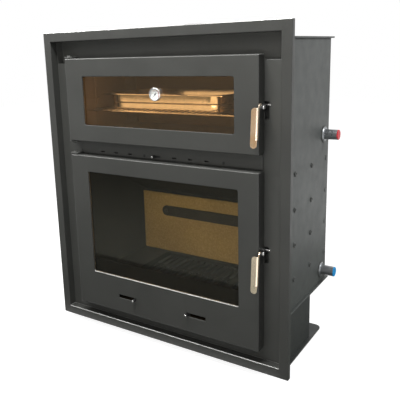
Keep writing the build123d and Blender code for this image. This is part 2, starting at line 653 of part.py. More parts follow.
def secondary_air():
    """Cover strip between the doors, with the slider behind it and its knob."""
    x0, x1 = HINGE_X + LUG_WIDTH / 2 + 2, DOOR_RIGHT - 3
    z0, z1 = FIRE_DOOR_TOP + 3, OVEN_DOOR_BOTTOM - 3
    cover_front = FACE_FRONT - STRIP_POCKET - STRIP_COVER
    cover = block(x0, x1, cover_front, FACE_FRONT, z0, z1)
    pocket_z0 = STRIP_SLOT_Z - STRIP_SLIDER_HEIGHT / 2 + 4 - SLIDER_GAP
    pocket_z1 = pocket_z0 + STRIP_SLIDER_HEIGHT + 2 * SLIDER_GAP
    pocket_x1 = x1 - STRIP_EDGE
    cover -= block(x0 + STRIP_EDGE, pocket_x1, cover_front + STRIP_COVER, FACE_FRONT + 1,
                   pocket_z0, pocket_z1)
    for x in strip_slots():
        cover -= slot_cut(x, STRIP_SLOT_Z, cover_front - 1, FACE_FRONT)
    knob_slot = (STRIP_KNOB_X - KNOB_SHANK - 1.5, STRIP_KNOB_X + STRIP_TRAVEL + KNOB_SHANK + 1.5,
                 STRIP_SLOT_Z - KNOB_SHANK - 0.5, STRIP_SLOT_Z + KNOB_SHANK + 0.5)
    cover -= panel(knob_slot, cover_front - 1, FACE_FRONT, KNOB_SHANK)
    screw_places = [(-STRIP_SLOT_PITCH, STRIP_SLOT_Z), (4 * STRIP_SLOT_PITCH, STRIP_SLOT_Z)]
    slider_rear = FACE_FRONT - (STRIP_POCKET - STRIP_SLIDER_SHEET) / 2
    slider_front = slider_rear - STRIP_SLIDER_SHEET
    z_low = pocket_z0 + SLIDER_GAP
    slider_x0, slider_x1 = x0 + STRIP_EDGE + 2, pocket_x1 - STRIP_TRAVEL - 4
    slider = block(slider_x0, slider_x1, slider_front, slider_rear, z_low, z_low + STRIP_SLIDER_HEIGHT)
    for x in strip_slots():
        slider -= slot_cut(x, STRIP_SLOT_Z, slider_front - 1, slider_rear + 1)
    for x, z in screw_places:
        clear = (x - STRIP_TRAVEL - 5, x + 5, z - 4, z + 4)
        slider -= panel(clear, slider_front - 1, slider_rear + 1, 2)
        cover -= rod_y(x, cover_front - 1, FACE_FRONT, z, 2.1)
    knob_front = cover_front - 4 - KNOB_LENGTH
    slider += rod_y(STRIP_KNOB_X, cover_front - 4, slider_front + 0.5, STRIP_SLOT_Z, KNOB_SHANK)
    knob = rod_y(STRIP_KNOB_X, knob_front, cover_front - 4, STRIP_SLOT_Z, KNOB_RADIUS)
    knob = chamfer(knob.edges().sort_by(Axis.Y)[0], KNOB_EDGE)
    save("cross_plate", cover)
    save("secondary_air_slider", slider + knob)

    screws = []
    for x, z in screw_places:
        screw = rod_y(x, cover_front - 2.2, cover_front, z, 4.2)
        screw = fillet(screw.edges().sort_by(Axis.Y)[0], 1.6)
        screws.append(screw + rod_y(x, cover_front, FACE_FRONT, z, 2.0))
    strap_front = FIREBOX_REAR - BACK_PLATE_SHEET - STRAP_SHEET
    for side in (-1, 1):
        x = side * (STRAP_LENGTH - STRAP_HEIGHT) / 2
        head = rod_y(x, strap_front - 5, strap_front, FLOOR_TOP + STRAP_RISE, 7)
        screws.append(chamfer(head.edges().sort_by(Axis.Y)[0], 1.5))
    x = HALF_BODY - BASE_BOX_INSET - BASE_BOLT_INSET
    end = BASE_BOX_REAR + BASE_BOLT_LENGTH
    screws.append(rod_y(x, BASE_BOX_REAR, end, BASE_BOLT_HEIGHT, BASE_BOLT_RADIUS))
    save("fixing_screws", *screws)


def oven():
    """Oven liner, and the rack guides, the wire rack and the baking tray in it."""
    half = FIREBOX_RIGHT - LINER_GAP - LINER_SHEET
    inner = (-half, half, OVEN_MOUTH[2] - LINER_STEP, OVEN_MOUTH[3] + LINER_STEP)
    liner = panel(grown(inner, LINER_SHEET), FACE_REAR, LINER_REAR, MOUTH_CORNER)
    liner -= panel(inner, FACE_REAR - CUT, LINER_REAR - LINER_SHEET, MOUTH_CORNER - LINER_SHEET)
    save("oven_liner", liner)

    low, high = inner[2] + MOUTH_CORNER, inner[3] - MOUTH_CORNER
    tab_top = RACK_Z - RACK_BORDER
    guides = []
    for side in (-1, 1):
        for depth in (RACK_FRONT + GUIDE_INSET, RACK_REAR - GUIDE_INSET):
            spans = (depth - GUIDE_WIDTH / 2, depth + GUIDE_WIDTH / 2)
            guide = block(*sorted((side * half, side * (half - GUIDE_SHEET))), *spans, low, high)
            for level in range(GUIDE_LEVELS):
                z = tab_top + level * GUIDE_PITCH
                tab = sorted((side * half, side * (half - GUIDE_SHEET - GUIDE_TAB)))
                guide += block(*tab, *spans, z - GUIDE_SHEET, z)
            guides.append(guide)
    save("rack_guides", *guides)

    r = RACK_BORDER
    reach = half - GUIDE_SHEET - RACK_SIDE_GAP - r
    front, rear = RACK_FRONT + r, RACK_REAR - r
    rack = rod_x(-reach - r, reach + r, front, RACK_Z, r) + rod_x(-reach - r, reach + r, rear, RACK_Z, r)
    rack += rod_y(-reach, front, rear, RACK_Z, r) + rod_y(reach, front, rear, RACK_Z, r)
    rack += rod_x(-reach, reach, (front + rear) / 2, RACK_Z, r)
    gaps = int(2 * reach / RACK_PITCH)
    wire_z = RACK_Z + r - RACK_WIRE / 4
    for index in range(1, gaps):
        x = -reach + index * 2 * reach / gaps
        rack += rod_y(x, RACK_FRONT, RACK_REAR, wire_z, RACK_WIRE)
    save("oven_rack", rack)

    save("baking_tray", tray(wire_z + RACK_WIRE))


def tray(foot):
    """Pressed baking tray with a flat rim, a stacking step half way up and a rounded foot."""
    front = RACK_FRONT + TRAY_INSET + TRAY_RIM
    rear = RACK_REAR - TRAY_INSET - TRAY_RIM
    spot = Pos(TRAY_CENTRE_X, FRONT + (front + rear) / 2, 0)
    top = foot + TRAY_HEIGHT
    waist = foot + TRAY_HEIGHT / 2

    def ring(inset, z):
        size = (TRAY_WIDTH - 2 * inset, rear - front - 2 * inset)
        return spot * Pos(0, 0, z) * RectangleRounded(*size, TRAY_CORNER - inset)

    def bowl(inset, floor):
        shelf = waist + inset
        shoulder = inset + TRAY_TAPER + TRAY_STEP
        toe = shoulder + TRAY_TAPER
        upper = loft([ring(inset + TRAY_TAPER, shelf), ring(inset, top)])
        lower = loft([ring(toe, floor + TRAY_FOOT), ring(shoulder, shelf)])
        sole = loft([ring(toe + TRAY_FOOT, floor), ring(toe, floor + TRAY_FOOT)])
        return upper + lower + sole

    rim_size = (TRAY_WIDTH + 2 * TRAY_RIM, rear - front + 2 * TRAY_RIM)
    rim = spot * Pos(0, 0, top - TRAY_RIM_THICKNESS) * RectangleRounded(*rim_size, TRAY_RIM_CORNER)
    rim = extrude(rim, TRAY_RIM_THICKNESS)
    rim -= extrude(ring(TRAY_SHEET, top - TRAY_RIM_THICKNESS - CUT), TRAY_RIM_THICKNESS + 2 * CUT)
    return bowl(0, foot) + rim - bowl(TRAY_SHEET, foot + TRAY_SHEET)


def hinges():
    """Lugs on the face plate and the pins that the doors turn on."""
    half = LUG_WIDTH / 2
    reach = HINGE_DEPTH - half * 0.55
    lugs = []
    pins = []
    for bottom, top in ((FIRE_DOOR_BOTTOM, FIRE_DOOR_TOP), (OVEN_DOOR_BOTTOM, OVEN_DOOR_TOP)):
        for level, upper in ((bottom - LUG_GAP - LUG_SHEET, False), (top + LUG_GAP, True)):
            lug = block(HINGE_X - half, HINGE_X + half, reach, FACE_FRONT, level, level + LUG_SHEET)
            lug = fillet(lug.edges().filter_by(Axis.Z).sort_by(Axis.Y)[:2], half * 0.5)
            if level > FACE_TOP:
                lug += block(HINGE_X - half, HINGE_X + half, FACE_FRONT, FACE_REAR,
                             FACE_TOP, level + LUG_SHEET)
            lug -= rod_z(HINGE_X, HINGE_DEPTH, level - 1, level + LUG_SHEET + 1, HINGE_PIN_RADIUS)
            lugs.append(lug)
            inside = LUG_GAP + DOOR_SHEET + HINGE_BUSH_LENGTH - 2
            if upper:
                pin = rod_z(HINGE_X, HINGE_DEPTH, level - inside, level + LUG_SHEET, HINGE_PIN_RADIUS)
                head_z = level + LUG_SHEET
                head = rod_z(HINGE_X, HINGE_DEPTH, head_z, head_z + PIN_HEAD_HEIGHT, PIN_HEAD_RADIUS)
                head = fillet(head.edges().sort_by(Axis.Z)[-1], 2.4)
            else:
                end = level + LUG_SHEET + inside
                pin = rod_z(HINGE_X, HINGE_DEPTH, level, end, HINGE_PIN_RADIUS)
                head = rod_z(HINGE_X, HINGE_DEPTH, level - 3, level, PIN_HEAD_RADIUS)
            pins.append(pin + head)
    save("hinge_lugs", *lugs)
    save("hinge_pins", *pins)


def keeper(pivot_z):
    """Round keeper pin across one latch slot."""
    half = KEEPER_LENGTH / 2
    return rod_x(LATCH_SLOT_X - half, LATCH_SLOT_X + half, KEEPER_DEPTH, pivot_z + KEEPER_RISE, KEEPER_RADIUS)


def door(name, bottom, top, window, mouth, pivot_z):
    """Folded door shell with its window, rope channel and hinge bushes, its glass and seals."""
    area = (DOOR_LEFT, DOOR_RIGHT, bottom, top)
    shell = panel(area, DOOR_FRONT, DOOR_REAR)
    shell = fillet(shell.edges().filter_by(Axis.Y), 2.0)
    front_edges = [e for e in shell.edges() if abs(e.center().Y - (FRONT + DOOR_FRONT)) < 0.01]
    shell = fillet(front_edges, DOOR_BEND)
    shell -= panel(grown(area, -DOOR_SHEET), PANEL_BACK, DOOR_REAR + 1)
    shell -= panel(window, DOOR_FRONT - 1, PANEL_BACK + 1, WINDOW_CORNER)

    channel_half = ROPE_WIDTH / 2 + SLIDER_GAP
    outer = grown(mouth, channel_half - RIM_SHEET / 2)
    inner = grown(mouth, -channel_half - RIM_SHEET / 2)
    corner = MOUTH_CORNER + channel_half
    rope_front = RIM_FRONT - ROPE_GAP - ROPE_THICKNESS
    wall_end = rope_front + 3.5
    shell += upright_ring(grown(outer, CHANNEL_SHEET), CHANNEL_SHEET, PANEL_BACK, wall_end, corner)
    shell += upright_ring(inner, CHANNEL_SHEET, PANEL_BACK, wall_end, corner - 2 * channel_half)
    shell += upright_ring(outer, 2 * channel_half, rope_front - CHANNEL_SHEET, rope_front, corner)
    for z0, z1 in ((bottom, bottom + HINGE_BUSH_LENGTH), (top - HINGE_BUSH_LENGTH, top)):
        shell += rod_z(HINGE_X, HINGE_DEPTH, z0, z1, HINGE_BUSH_RADIUS)
        shell -= rod_z(HINGE_X, HINGE_DEPTH, z0 - 1, z1 + 4, HINGE_PIN_RADIUS + HINGE_CLEARANCE)
    shell -= rod_x(DOOR_RIGHT - DOOR_SHEET - 1, DOOR_RIGHT + 1, PIVOT_DEPTH, pivot_z, PIVOT_RADIUS)

    rope_area = grown(mouth, ROPE_WIDTH / 2 - RIM_SHEET / 2)
    rope = upright_ring(rope_area, ROPE_WIDTH, rope_front, rope_front + ROPE_THICKNESS, corner - SLIDER_GAP)
    rear_edges = [e for e in rope.edges() if e.center().Y > FRONT + rope_front + ROPE_THICKNESS - 0.01]
    rope = fillet(rear_edges, 4.0)
    save(f"{name}_door_rope", rope)

    glass_area = grown(window, GLASS_LAP)
    glass = panel(glass_area, GLASS_FRONT, GLASS_BACK, 4)
    seal = panel(glass_area, PANEL_BACK, GLASS_FRONT, 4)
    seal -= panel(window, PANEL_BACK - 1, GLASS_FRONT + 1, WINDOW_CORNER)
    save(f"{name}_glass_seal", seal)

    x0, x1, z0, z1 = glass_area
    leg = CLIP_GAP + CLIP_LEG
    clips = []
    for low in (True, False):
        edge = z0 - leg if low else z1 + CLIP_GAP
        flat = (edge, z0 + CLIP_LAP) if low else (z1 - CLIP_LAP, edge + CLIP_LEG)
        bar = block(x0 - leg, x1 + leg, GLASS_BACK, GLASS_BACK + CLIP_SHEET, *flat)
        bar += block(x0 - leg, x1 + leg, PANEL_BACK, GLASS_BACK, edge, edge + CLIP_LEG)
        clips.append(bar)
    for low in (True, False):
        edge = x0 - leg if low else x1 + CLIP_GAP
        flat = (edge, x0 + CLIP_LAP) if low else (x1 - CLIP_LAP, edge + CLIP_LEG)
        inner_z = (z0 + CLIP_LAP, z1 - CLIP_LAP)
        bar = block(*flat, GLASS_BACK, GLASS_BACK + CLIP_SHEET, *inner_z)
        bar += block(edge, edge + CLIP_LEG, PANEL_BACK, GLASS_BACK, *inner_z)
        clips.append(bar)
    save(f"{name}_glass_clips", *clips)

    head_left = LEVER_RIGHT + SLIDER_GAP
    head = rod_x(head_left, head_left + BOLT_HEAD_LENGTH, PIVOT_DEPTH, pivot_z, BOLT_HEAD_RADIUS)
    head = fillet(head.edges().sort_by(Axis.X)[-1], BOLT_HEAD_LENGTH / 2)
    nut_left = DOOR_RIGHT - DOOR_SHEET - NUT_LENGTH
    bolt = head + rod_x(nut_left - 2, head_left, PIVOT_DEPTH, pivot_z, PIVOT_RADIUS)
    spacer = rod_x(DOOR_RIGHT, LEVER_LEFT - SLIDER_GAP, PIVOT_DEPTH, pivot_z, SPACER_RADIUS)
    spacer -= rod_x(DOOR_RIGHT - CUT, LEVER_LEFT + CUT, PIVOT_DEPTH, pivot_z, PIVOT_RADIUS)
    nut = Pos(nut_left, FRONT + PIVOT_DEPTH, pivot_z) * Rot(0, 90, 0) * extrude(
        RegularPolygon(NUT_RADIUS, 6), NUT_LENGTH)
    nut -= rod_x(nut_left - CUT, DOOR_RIGHT, PIVOT_DEPTH, pivot_z, PIVOT_RADIUS)
    save(f"{name}_handle_bolt", bolt, spacer, nut)
    return shell, glass


def oven_door():
    """Oven door with the thermometer through its glass."""
    shell, glass = door("oven", OVEN_DOOR_BOTTOM, OVEN_DOOR_TOP, OVEN_WINDOW, OVEN_MOUTH, OVEN_PIVOT_Z)
    save("oven_door_shell", shell)
    x, z = THERMOMETER_X, THERMOMETER_Z
    glass -= rod_y(x, GLASS_FRONT - 1, GLASS_BACK + 1, z, STEM_RADIUS)
    save("oven_glass", glass)

    back = GLASS_FRONT
    front = back - CASE_DEPTH
    case = rod_y(x, front, back, z, CASE_RADIUS)
    case = fillet(case.edges().sort_by(Axis.Y)[0], CASE_EDGE)
    floor_front = back - CASE_FLOOR
    case -= rod_y(x, front + BEZEL, floor_front, z, CASE_RADIUS - CASE_WALL)
    case -= rod_y(x, front - CUT, front + BEZEL + CUT, z, DIAL_RADIUS - BEZEL_LAP)
    case += rod_y(x, back, GLASS_BACK + STEM_THREAD, z, STEM_RADIUS)
    case += rod_y(x, GLASS_BACK + STEM_THREAD, GLASS_BACK + STEM_LENGTH, z, PROBE_RADIUS)
    case -= rod_y(x, floor_front - CUT, back, z, SPINDLE_RADIUS + SPINDLE_GAP)
    save("thermometer_case", case)
    dial_front = floor_front - DIAL_SHEET
    dial = rod_y(x, dial_front, floor_front, z, DIAL_RADIUS + BEZEL_LAP)
    dial -= rod_y(x, dial_front - CUT, floor_front + CUT, z, SPINDLE_RADIUS + SPINDLE_GAP)
    save("thermometer_dial", dial)
    lens = rod_y(x, front + BEZEL, front + BEZEL + LENS_SHEET, z, DIAL_RADIUS + BEZEL_LAP + 0.2)
    save("thermometer_lens", lens)

    needle_front = dial_front - NEEDLE_LIFT
    needle = rod_y(x, needle_front, needle_front + NEEDLE_LIFT / 2, z, NEEDLE_HUB)
    needle += rod_y(x, needle_front + NEEDLE_SHEET, back - NEEDLE_SHEET, z, SPINDLE_RADIUS)
    tip = z + DIAL_RADIUS - NEEDLE_TIP_GAP
    tail = z - NEEDLE_TAIL
    outline = Polyline((x - 1.3, tail), (x + 1.3, tail), (x + 1.0, z), (x + 0.3, tip),
                       (x - 0.3, tip), (x - 1.0, z), close=True)
    blade = extrude(make_face(Plane.XZ * outline), NEEDLE_SHEET, dir=(0, 1, 0))
    needle += Pos(0, FRONT + needle_front + 0.2, 0) * blade
    turn = Pos(x, 0, z) * Rot(0, -NEEDLE_TURN, 0) * Pos(-x, 0, -z)
    save("thermometer_needle", turn * needle)
    nut = Pos(x, FRONT + GLASS_BACK, z) * Rot(-90, 0, 0) * extrude(
        RegularPolygon(STEM_NUT_RADIUS, 6), STEM_NUT_LENGTH)
    nut -= rod_y(x, GLASS_BACK - CUT, GLASS_BACK + STEM_NUT_LENGTH + CUT, z, STEM_RADIUS)
    save("thermometer_nut", nut)


def fire_door():
    """Firebox door with the two primary air sliders in its lower panel."""
    shell, glass = door("fire", FIRE_DOOR_BOTTOM, FIRE_DOOR_TOP, FIRE_WINDOW, FIRE_MOUTH, FIRE_PIVOT_Z)
    z = AIR_SLOT_Z
    for side in (-1, 1):
        inner = DOOR_CENTRE_X + side * AIR_SLOT_INNER
        outer = DOOR_CENTRE_X + side * (AIR_SLOT_INNER + AIR_SLOT_LENGTH)
        area = (min(inner, outer), max(inner, outer), z - AIR_SLOT_HEIGHT / 2, z + AIR_SLOT_HEIGHT / 2)
        shell -= panel(area, DOOR_FRONT - 1, PANEL_BACK + 1, 2.5)
    save("fire_door_shell", shell)
    save("fire_glass", glass)

    half = AIR_SLIDER_HEIGHT / 2
    plate_front = PANEL_BACK + SLIDER_GAP
    plate_back = plate_front + AIR_SLIDER_SHEET
    lip_front = plate_back + SLIDER_GAP
    rails = []
    reach = AIR_SLOT_INNER + AIR_SLOT_LENGTH + 10
    for side in (-1, 1):
        near, far = half + SLIDER_GAP, half + SLIDER_GAP + 6
        spans = sorted((z + side * near, z + side * far))
        rail = block(DOOR_CENTRE_X - reach, DOOR_CENTRE_X + reach, PANEL_BACK, lip_front + 2, *spans)
        lips = sorted((z + side * (near - RAIL_LIP), z + side * near))
        rail += block(DOOR_CENTRE_X - reach, DOOR_CENTRE_X + reach, lip_front, lip_front + 2, *lips)
        rails.append(rail)
    save("air_slider_rails", *rails)

    for name, side in (("left_air_slider", -1), ("right_air_slider", 1)):
        knob_x = DOOR_CENTRE_X + side * (AIR_SLOT_INNER + KNOB_SHANK + 2.5)
        ends = sorted((knob_x + side * 8, knob_x + side * (8 - AIR_SLIDER_LENGTH)))
        slider = block(*ends, plate_front, plate_back, z - half, z + half)
        slider += rod_y(knob_x, DOOR_FRONT - 3, plate_front + 0.5, z, KNOB_SHANK)
        knob = rod_y(knob_x, DOOR_FRONT - 3 - KNOB_LENGTH, DOOR_FRONT - 3, z, KNOB_RADIUS)
        knob = chamfer(knob.edges().sort_by(Axis.Y)[0], KNOB_EDGE)
        save(name, slider + knob)


def handle(name, pivot_z):
    """Lever with its latch nose, and the bright folded grip on it, both drawn round the pivot."""
    lean = Pos(0, FRONT + PIVOT_DEPTH, pivot_z) * Rot(-REST_LEAN, 0, 0)
    front, back = -GRIP_REACH, -GRIP_REACH + GRIP_DEPTH
    foot, top = -GRIP_DROP - GRIP_LENGTH, -GRIP_DROP
    step = foot + GRIP_STEP

    def sheet(points, x0, x1):
        face = make_face(Plane.YZ * Polyline(*points, close=True))
        return Pos(x0, 0, 0) * extrude(face, x1 - x0, dir=(1, 0, 0))

    lean_angle = math.radians(REST_LEAN)
    keeper_back = KEEPER_DEPTH - PIVOT_DEPTH
    lip_front = keeper_back + KEEPER_RADIUS + LIP_CLEARANCE
    lip_rear = lip_front + LIP_THICKNESS
    lip_top = (KEEPER_RISE - KEEPER_RADIUS - LIP_GAP + lip_rear * math.sin(lean_angle)) / math.cos(lean_angle)
    boss = LEVER_BOSS_RADIUS
    stem = [(front + GRIP_SHEET, step), (back - GRIP_SHEET, step), (back - GRIP_SHEET, -3.6 * boss)]
    belly = [(back + boss, -3.2 * boss), (0, -1.4 * boss), (boss, -1.2 * boss), (lip_rear, -2 * NOSE_UNDER)]
    nose = [(lip_rear, lip_top), (lip_front, lip_top), (lip_front, -NOSE_UNDER),
            (keeper_back - 9, -NOSE_UNDER)]
    crown = [(boss - 3, boss - 3), (0, boss), (back + NECK_WIDTH + 3, NECK_RISE), (back, top),
             (front + GRIP_SHEET, top)]
    lever = sheet(stem + belly + nose + crown, LEVER_LEFT, LEVER_RIGHT)
    disc = Pos(LEVER_LEFT, 0, 0) * Rot(0, 90, 0)
    lever += disc * extrude(Circle(boss), LEVER_SHEET)
    lever -= disc * Pos(0, 0, -CUT) * extrude(Circle(PIVOT_RADIUS + PIVOT_CLEARANCE), LEVER_SHEET + 2 * CUT)
    save(f"{name}_handle_lever", lean * lever)

    x1 = LEVER_RIGHT + GRIP_SHEET
    x0 = x1 - GRIP_WIDTH
    low_left = (Align.MIN, Align.MIN, Align.MIN)
    low_right = (Align.MAX, Align.MIN, Align.MIN)
    strip = Pos(x0, front, foot) * Box(GRIP_WIDTH, GRIP_SHEET, GRIP_LENGTH, align=low_left)
    strip = fillet(strip.edges().filter_by(Axis.Y).sort_by(Axis.Z)[:2], GRIP_WIDTH / 2 - 0.1)
    upper_left = strip.edges().filter_by(Axis.Y).sort_by(Axis.Z)[-2:].sort_by(Axis.X)[0]
    strip = fillet(upper_left, GRIP_WIDTH / 2)
    rise = top - step
    corner = Pos(x1, front, step) * Box(GRIP_BEND, GRIP_BEND, rise, align=low_right)
    outside = corner.edges().filter_by(Axis.Z).sort_by(Axis.X)[-2:].sort_by(Axis.Y)[0]
    bend = fillet(outside, GRIP_BEND - 0.1)
    bend -= Pos(x1 - GRIP_SHEET, front + GRIP_SHEET, step) * Box(GRIP_BEND, GRIP_BEND, rise, align=low_right)
    neck_front = back - NECK_WIDTH
    outline = [(front + GRIP_BEND, step), (back - GRIP_SHEET, step), (back, step + GRIP_SHEET), (back, top),
               (back + 2, NECK_RISE - NECK_WIDTH + 1), (back + NECK_WIDTH + 3, NECK_RISE - 2),
               (back + NECK_WIDTH + 3, NECK_RISE + 2), (back + 1, NECK_RISE + 1),
               (neck_front + 1, NECK_RISE - 5), (neck_front, top), (front + GRIP_BEND, top)]
    flange = sheet(outline, LEVER_RIGHT, x1)
    save(f"{name}_handle_grip", lean * (strip - corner + bend + flange))


def flue():
    """Flue collar standing in the lid."""
    z0 = BODY_TOP
    z1 = BODY_TOP + LID_SHEET + FLUE_HEIGHT
    collar = rod_z(0, FLUE_DEPTH, z0, z1, FLUE_RADIUS)
    collar += rod_z(0, FLUE_DEPTH, BODY_TOP + LID_SHEET, BODY_TOP + LID_SHEET + 3, FLUE_RADIUS + FLUE_FLANGE)
    collar -= rod_z(0, FLUE_DEPTH, z0 - 1, z1 + 1, FLUE_RADIUS - FLUE_WALL)
    save("flue_collar", collar)


def water_pipes():
    """Hot and return pipe stubs on the right side, with their plastic plugs."""
    wall_inside = HALF_BODY - BODY_SHEET
    wall_outside = HALF_BODY
    end = wall_outside + PIPE_LENGTH
    bore = PIPE_RADIUS - PIPE_WALL
    for name, z in (("hot", HOT_PIPE_Z), ("return", RETURN_PIPE_Z)):
        pipe = rod_x(wall_inside, end, PIPE_DEPTH, z, PIPE_RADIUS)
        collar_end = wall_outside + PIPE_COLLAR_LENGTH
        collar = rod_x(wall_outside, collar_end, PIPE_DEPTH, z, PIPE_RADIUS + PIPE_COLLAR)
        collar = chamfer(collar.edges().sort_by(Axis.X)[-1], 3.5)
        pipe = pipe + collar - rod_x(wall_inside - 1, end + 1, PIPE_DEPTH, z, bore)
        save(f"{name}_pipe", pipe)
        flange = rod_x(end + PLUG_GAP, end + PLUG_GAP + PLUG_FLANGE, PIPE_DEPTH, z, PIPE_RADIUS - PLUG_GAP)
        flange = chamfer(flange.edges().sort_by(Axis.X)[-1], 0.8)
        plug = rod_x(end - PLUG_LENGTH, end + 1, PIPE_DEPTH, z, bore - PLUG_GAP)
        hollow = rod_x(end - PLUG_LENGTH - 1, end - 1, PIPE_DEPTH, z, bore - PLUG_GAP - PLUG_WALL)
        save(f"{name}_cap", flange + plug - hollow)


base()
boiler_shells()
stays()
firebox_fittings()
front_plate()
frame()
secondary_air()
oven()
hinges()
oven_door()
fire_door()
handle("oven", OVEN_PIVOT_Z)
handle("fire", FIRE_PIVOT_Z)
flue()
water_pipes()
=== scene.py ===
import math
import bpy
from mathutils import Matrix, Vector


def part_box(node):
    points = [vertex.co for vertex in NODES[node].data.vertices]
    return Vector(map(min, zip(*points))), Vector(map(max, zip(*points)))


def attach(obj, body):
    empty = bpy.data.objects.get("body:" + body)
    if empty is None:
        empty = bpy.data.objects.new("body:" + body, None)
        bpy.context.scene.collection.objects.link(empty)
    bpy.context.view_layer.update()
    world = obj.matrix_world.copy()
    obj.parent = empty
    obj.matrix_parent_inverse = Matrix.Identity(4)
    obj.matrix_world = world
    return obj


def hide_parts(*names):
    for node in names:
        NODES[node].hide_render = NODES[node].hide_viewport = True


bl_info = {
    "name": "Boiler Fireplace Finish",
    "version": (1, 0, 0),
    "blender": (4, 5, 0),
    "location": "View3D > Sidebar > Fireplace",
    "description": "Surface finishes, fine pieces, stage and lights for a boiler fireplace with an oven",
    "category": "Object",
}

import bmesh
import bpy
from bpy.props import FloatProperty, FloatVectorProperty, IntProperty, PointerProperty
from mathutils import Matrix, Vector

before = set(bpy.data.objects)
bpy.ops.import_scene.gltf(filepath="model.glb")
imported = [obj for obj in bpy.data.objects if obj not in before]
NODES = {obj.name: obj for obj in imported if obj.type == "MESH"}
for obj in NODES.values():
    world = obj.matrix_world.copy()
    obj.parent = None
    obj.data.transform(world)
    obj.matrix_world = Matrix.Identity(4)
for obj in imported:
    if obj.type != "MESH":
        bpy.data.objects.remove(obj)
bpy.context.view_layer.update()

# Tones and strengths that several finishes share
# Bright steel of the upper painted edges: partly wear, partly a painted highlight
RUBBED_STEEL_AND_HIGHLIGHT = (0.90, 0.90, 0.88, 1)
DEEP_SOOT = (0.007, 0.007, 0.007, 1)
PAINT_GLOSS = 0.42
SOOT_GLOSS = 0.05
COOL_CAST = (0.97, 1.02, 1.04)

# Half widths inside which the flange and the base are sooty, and how wide the change is
SOOTY_FLANGE = 0.345
SOOTY_BASE = 0.335
SOOT_FADE = 0.004

# How strongly upper edges are rubbed bright, partly as wear and partly as a painted highlight on edges that
# face up to the lamps, how far below the oven door's top that starts, and how high up on the fire door
RUB_AND_HIGHLIGHT = 0.8
STRONG_RUB_AND_HIGHLIGHT = 0.95
OVEN_DOOR_RUB_AND_HIGHLIGHT = 0.02
FIRE_DOOR_RUB_AND_HIGHLIGHT = 0.19

# Middles of the stays and of the air knobs in the CAD part
STAY_LEVELS = (0.288, 0.399, 0.510, 0.621)
SIDE_STAYS = (-0.096, 0.042)
REAR_STAYS = (-0.276, -0.138, 0, 0.138, 0.276)
KNOBS = {
    "left_air_slider": (-0.102, 0.152),
    "right_air_slider": (0.112, 0.152),
    "secondary_air_slider": (-0.018, 0.6575),
}

# Size of the knobs' domes
KNOB_RADIUS = 0.0043
DOME_FLATNESS = 0.5

# How uneven weld beads are, and how much thicker and deeper the ones round the pipes sit
BEAD_UNEVENNESS = 0.22
SOCKET_BEAD = 1.2
SOCKET_INSET = 0.0012

# The fold at the tray's foot, and the groove's steps: rise, and share of the groove's depth outwards
TRAY_FOLD = 0.0012
GROOVE_STEPS = ((0.0012, -0.3), (0.0010, -0.7), (0.0014, 0), (0.0010, 0.8), (0.0012, 0.5))

# The dial's print: height over the sheet, ticks as width, depth and length, bands in steps of the scale
PRINT_HEIGHT = 0.00006
LONG_TICK = (0.0006, 0.0001, 0.0034)
SHORT_TICK = (0.0004, 0.0001, 0.0020)
TICK_TAPER = 0.55
SHORT_STEPS = 5
BAKING_BAND, HOT_BAND = (1.5, 3), (3, 5)
BAND_RADIUS, BAND_WIDTH, BAND_DEPTH = 0.0128, 0.0010, 0.00008
FIGURE_INSET, FIGURE_DEPTH = 0.0052, 0.00004

# Cloths by colour, and cards by place, size, standing upright, seen from behind the glass, and cloth
CLOTHS = {
    "dark_cloth": (0.21, 0.225, 0.205),
    "black_cloth": (0.09, 0.095, 0.088),
    "timber_tone": (0.98, 0.62, 0.34),
}
CARDS = {
    "far_card": ((-2.2, -3.0, 0.80), (3.6, 1.1), True, False, "dark_cloth"),
    "near_card": ((-1.075, -1.58, 0.003), (2.45, 1.94), False, True, "dark_cloth"),
    "foot_card": ((-0.25, -0.53, 0.004), (1.7, 0.54), False, True, "black_cloth"),
    "timber_card": ((-0.76, -2.98, 0.85), (0.72, 0.9), True, False, "timber_tone"),
    "side_card": ((0.74, 0.35, 0.003), (0.66, 1.3), False, False, "dark_cloth"),
}

# Lamps by place, target, size and colour, each named as the setting that holds its power
LAMPS = {
    "overhead": ((0.1, -0.85, 2.4), (0, -0.2, 0.7), (0.8, 0.3), (1, 1, 1)),
    "edge": ((-1.4, -0.9, 2.2), (0, -0.23, 0.65), (0.5, 0.3), (1, 1, 1)),
    "side": ((2.9, 0.5, 2.6), (0.4, 0, 0.8), (1.4, 1.0), (0.96, 0.99, 1.0)),
    "tray": ((1.0, -2.0, 0.62), (0.2, -0.15, 0.83), (1.1, 0.22), (1, 1, 1)),
    "front": ((0.6, -3.2, 2.7), (0, -0.2, 0.6), (1.8, 1.0), (1.0, 0.98, 0.93)),
}
FLOOR_SIZE = 16
FLOOR_BOUNCE = (0.24, 0.24, 0.24, 1)
WHITE = (1, 1, 1, 1)


# Settings that a user would change


class PaintSettings(bpy.types.PropertyGroup):
    """Heat-resistant stove paint on the outside steel."""

    colour: FloatVectorProperty(
        name="Paint", description="Colour of the stove paint", subtype="COLOR",
        size=3, min=0, max=1, default=(0.050, 0.051, 0.047))
    roughness: FloatProperty(
        name="Roughness", description="Mean roughness of the paint", subtype="FACTOR",
        min=0, max=1, default=0.44)
    grain: FloatProperty(
        name="Grain", description="Size of the paint's fine grain", subtype="DISTANCE",
        unit="LENGTH", min=0.0002, max=0.01, default=0.0011)
    edge: FloatProperty(
        name="Edge", description="Radius of the painted edges", subtype="DISTANCE",
        unit="LENGTH", min=0, max=0.005, default=0.0034)


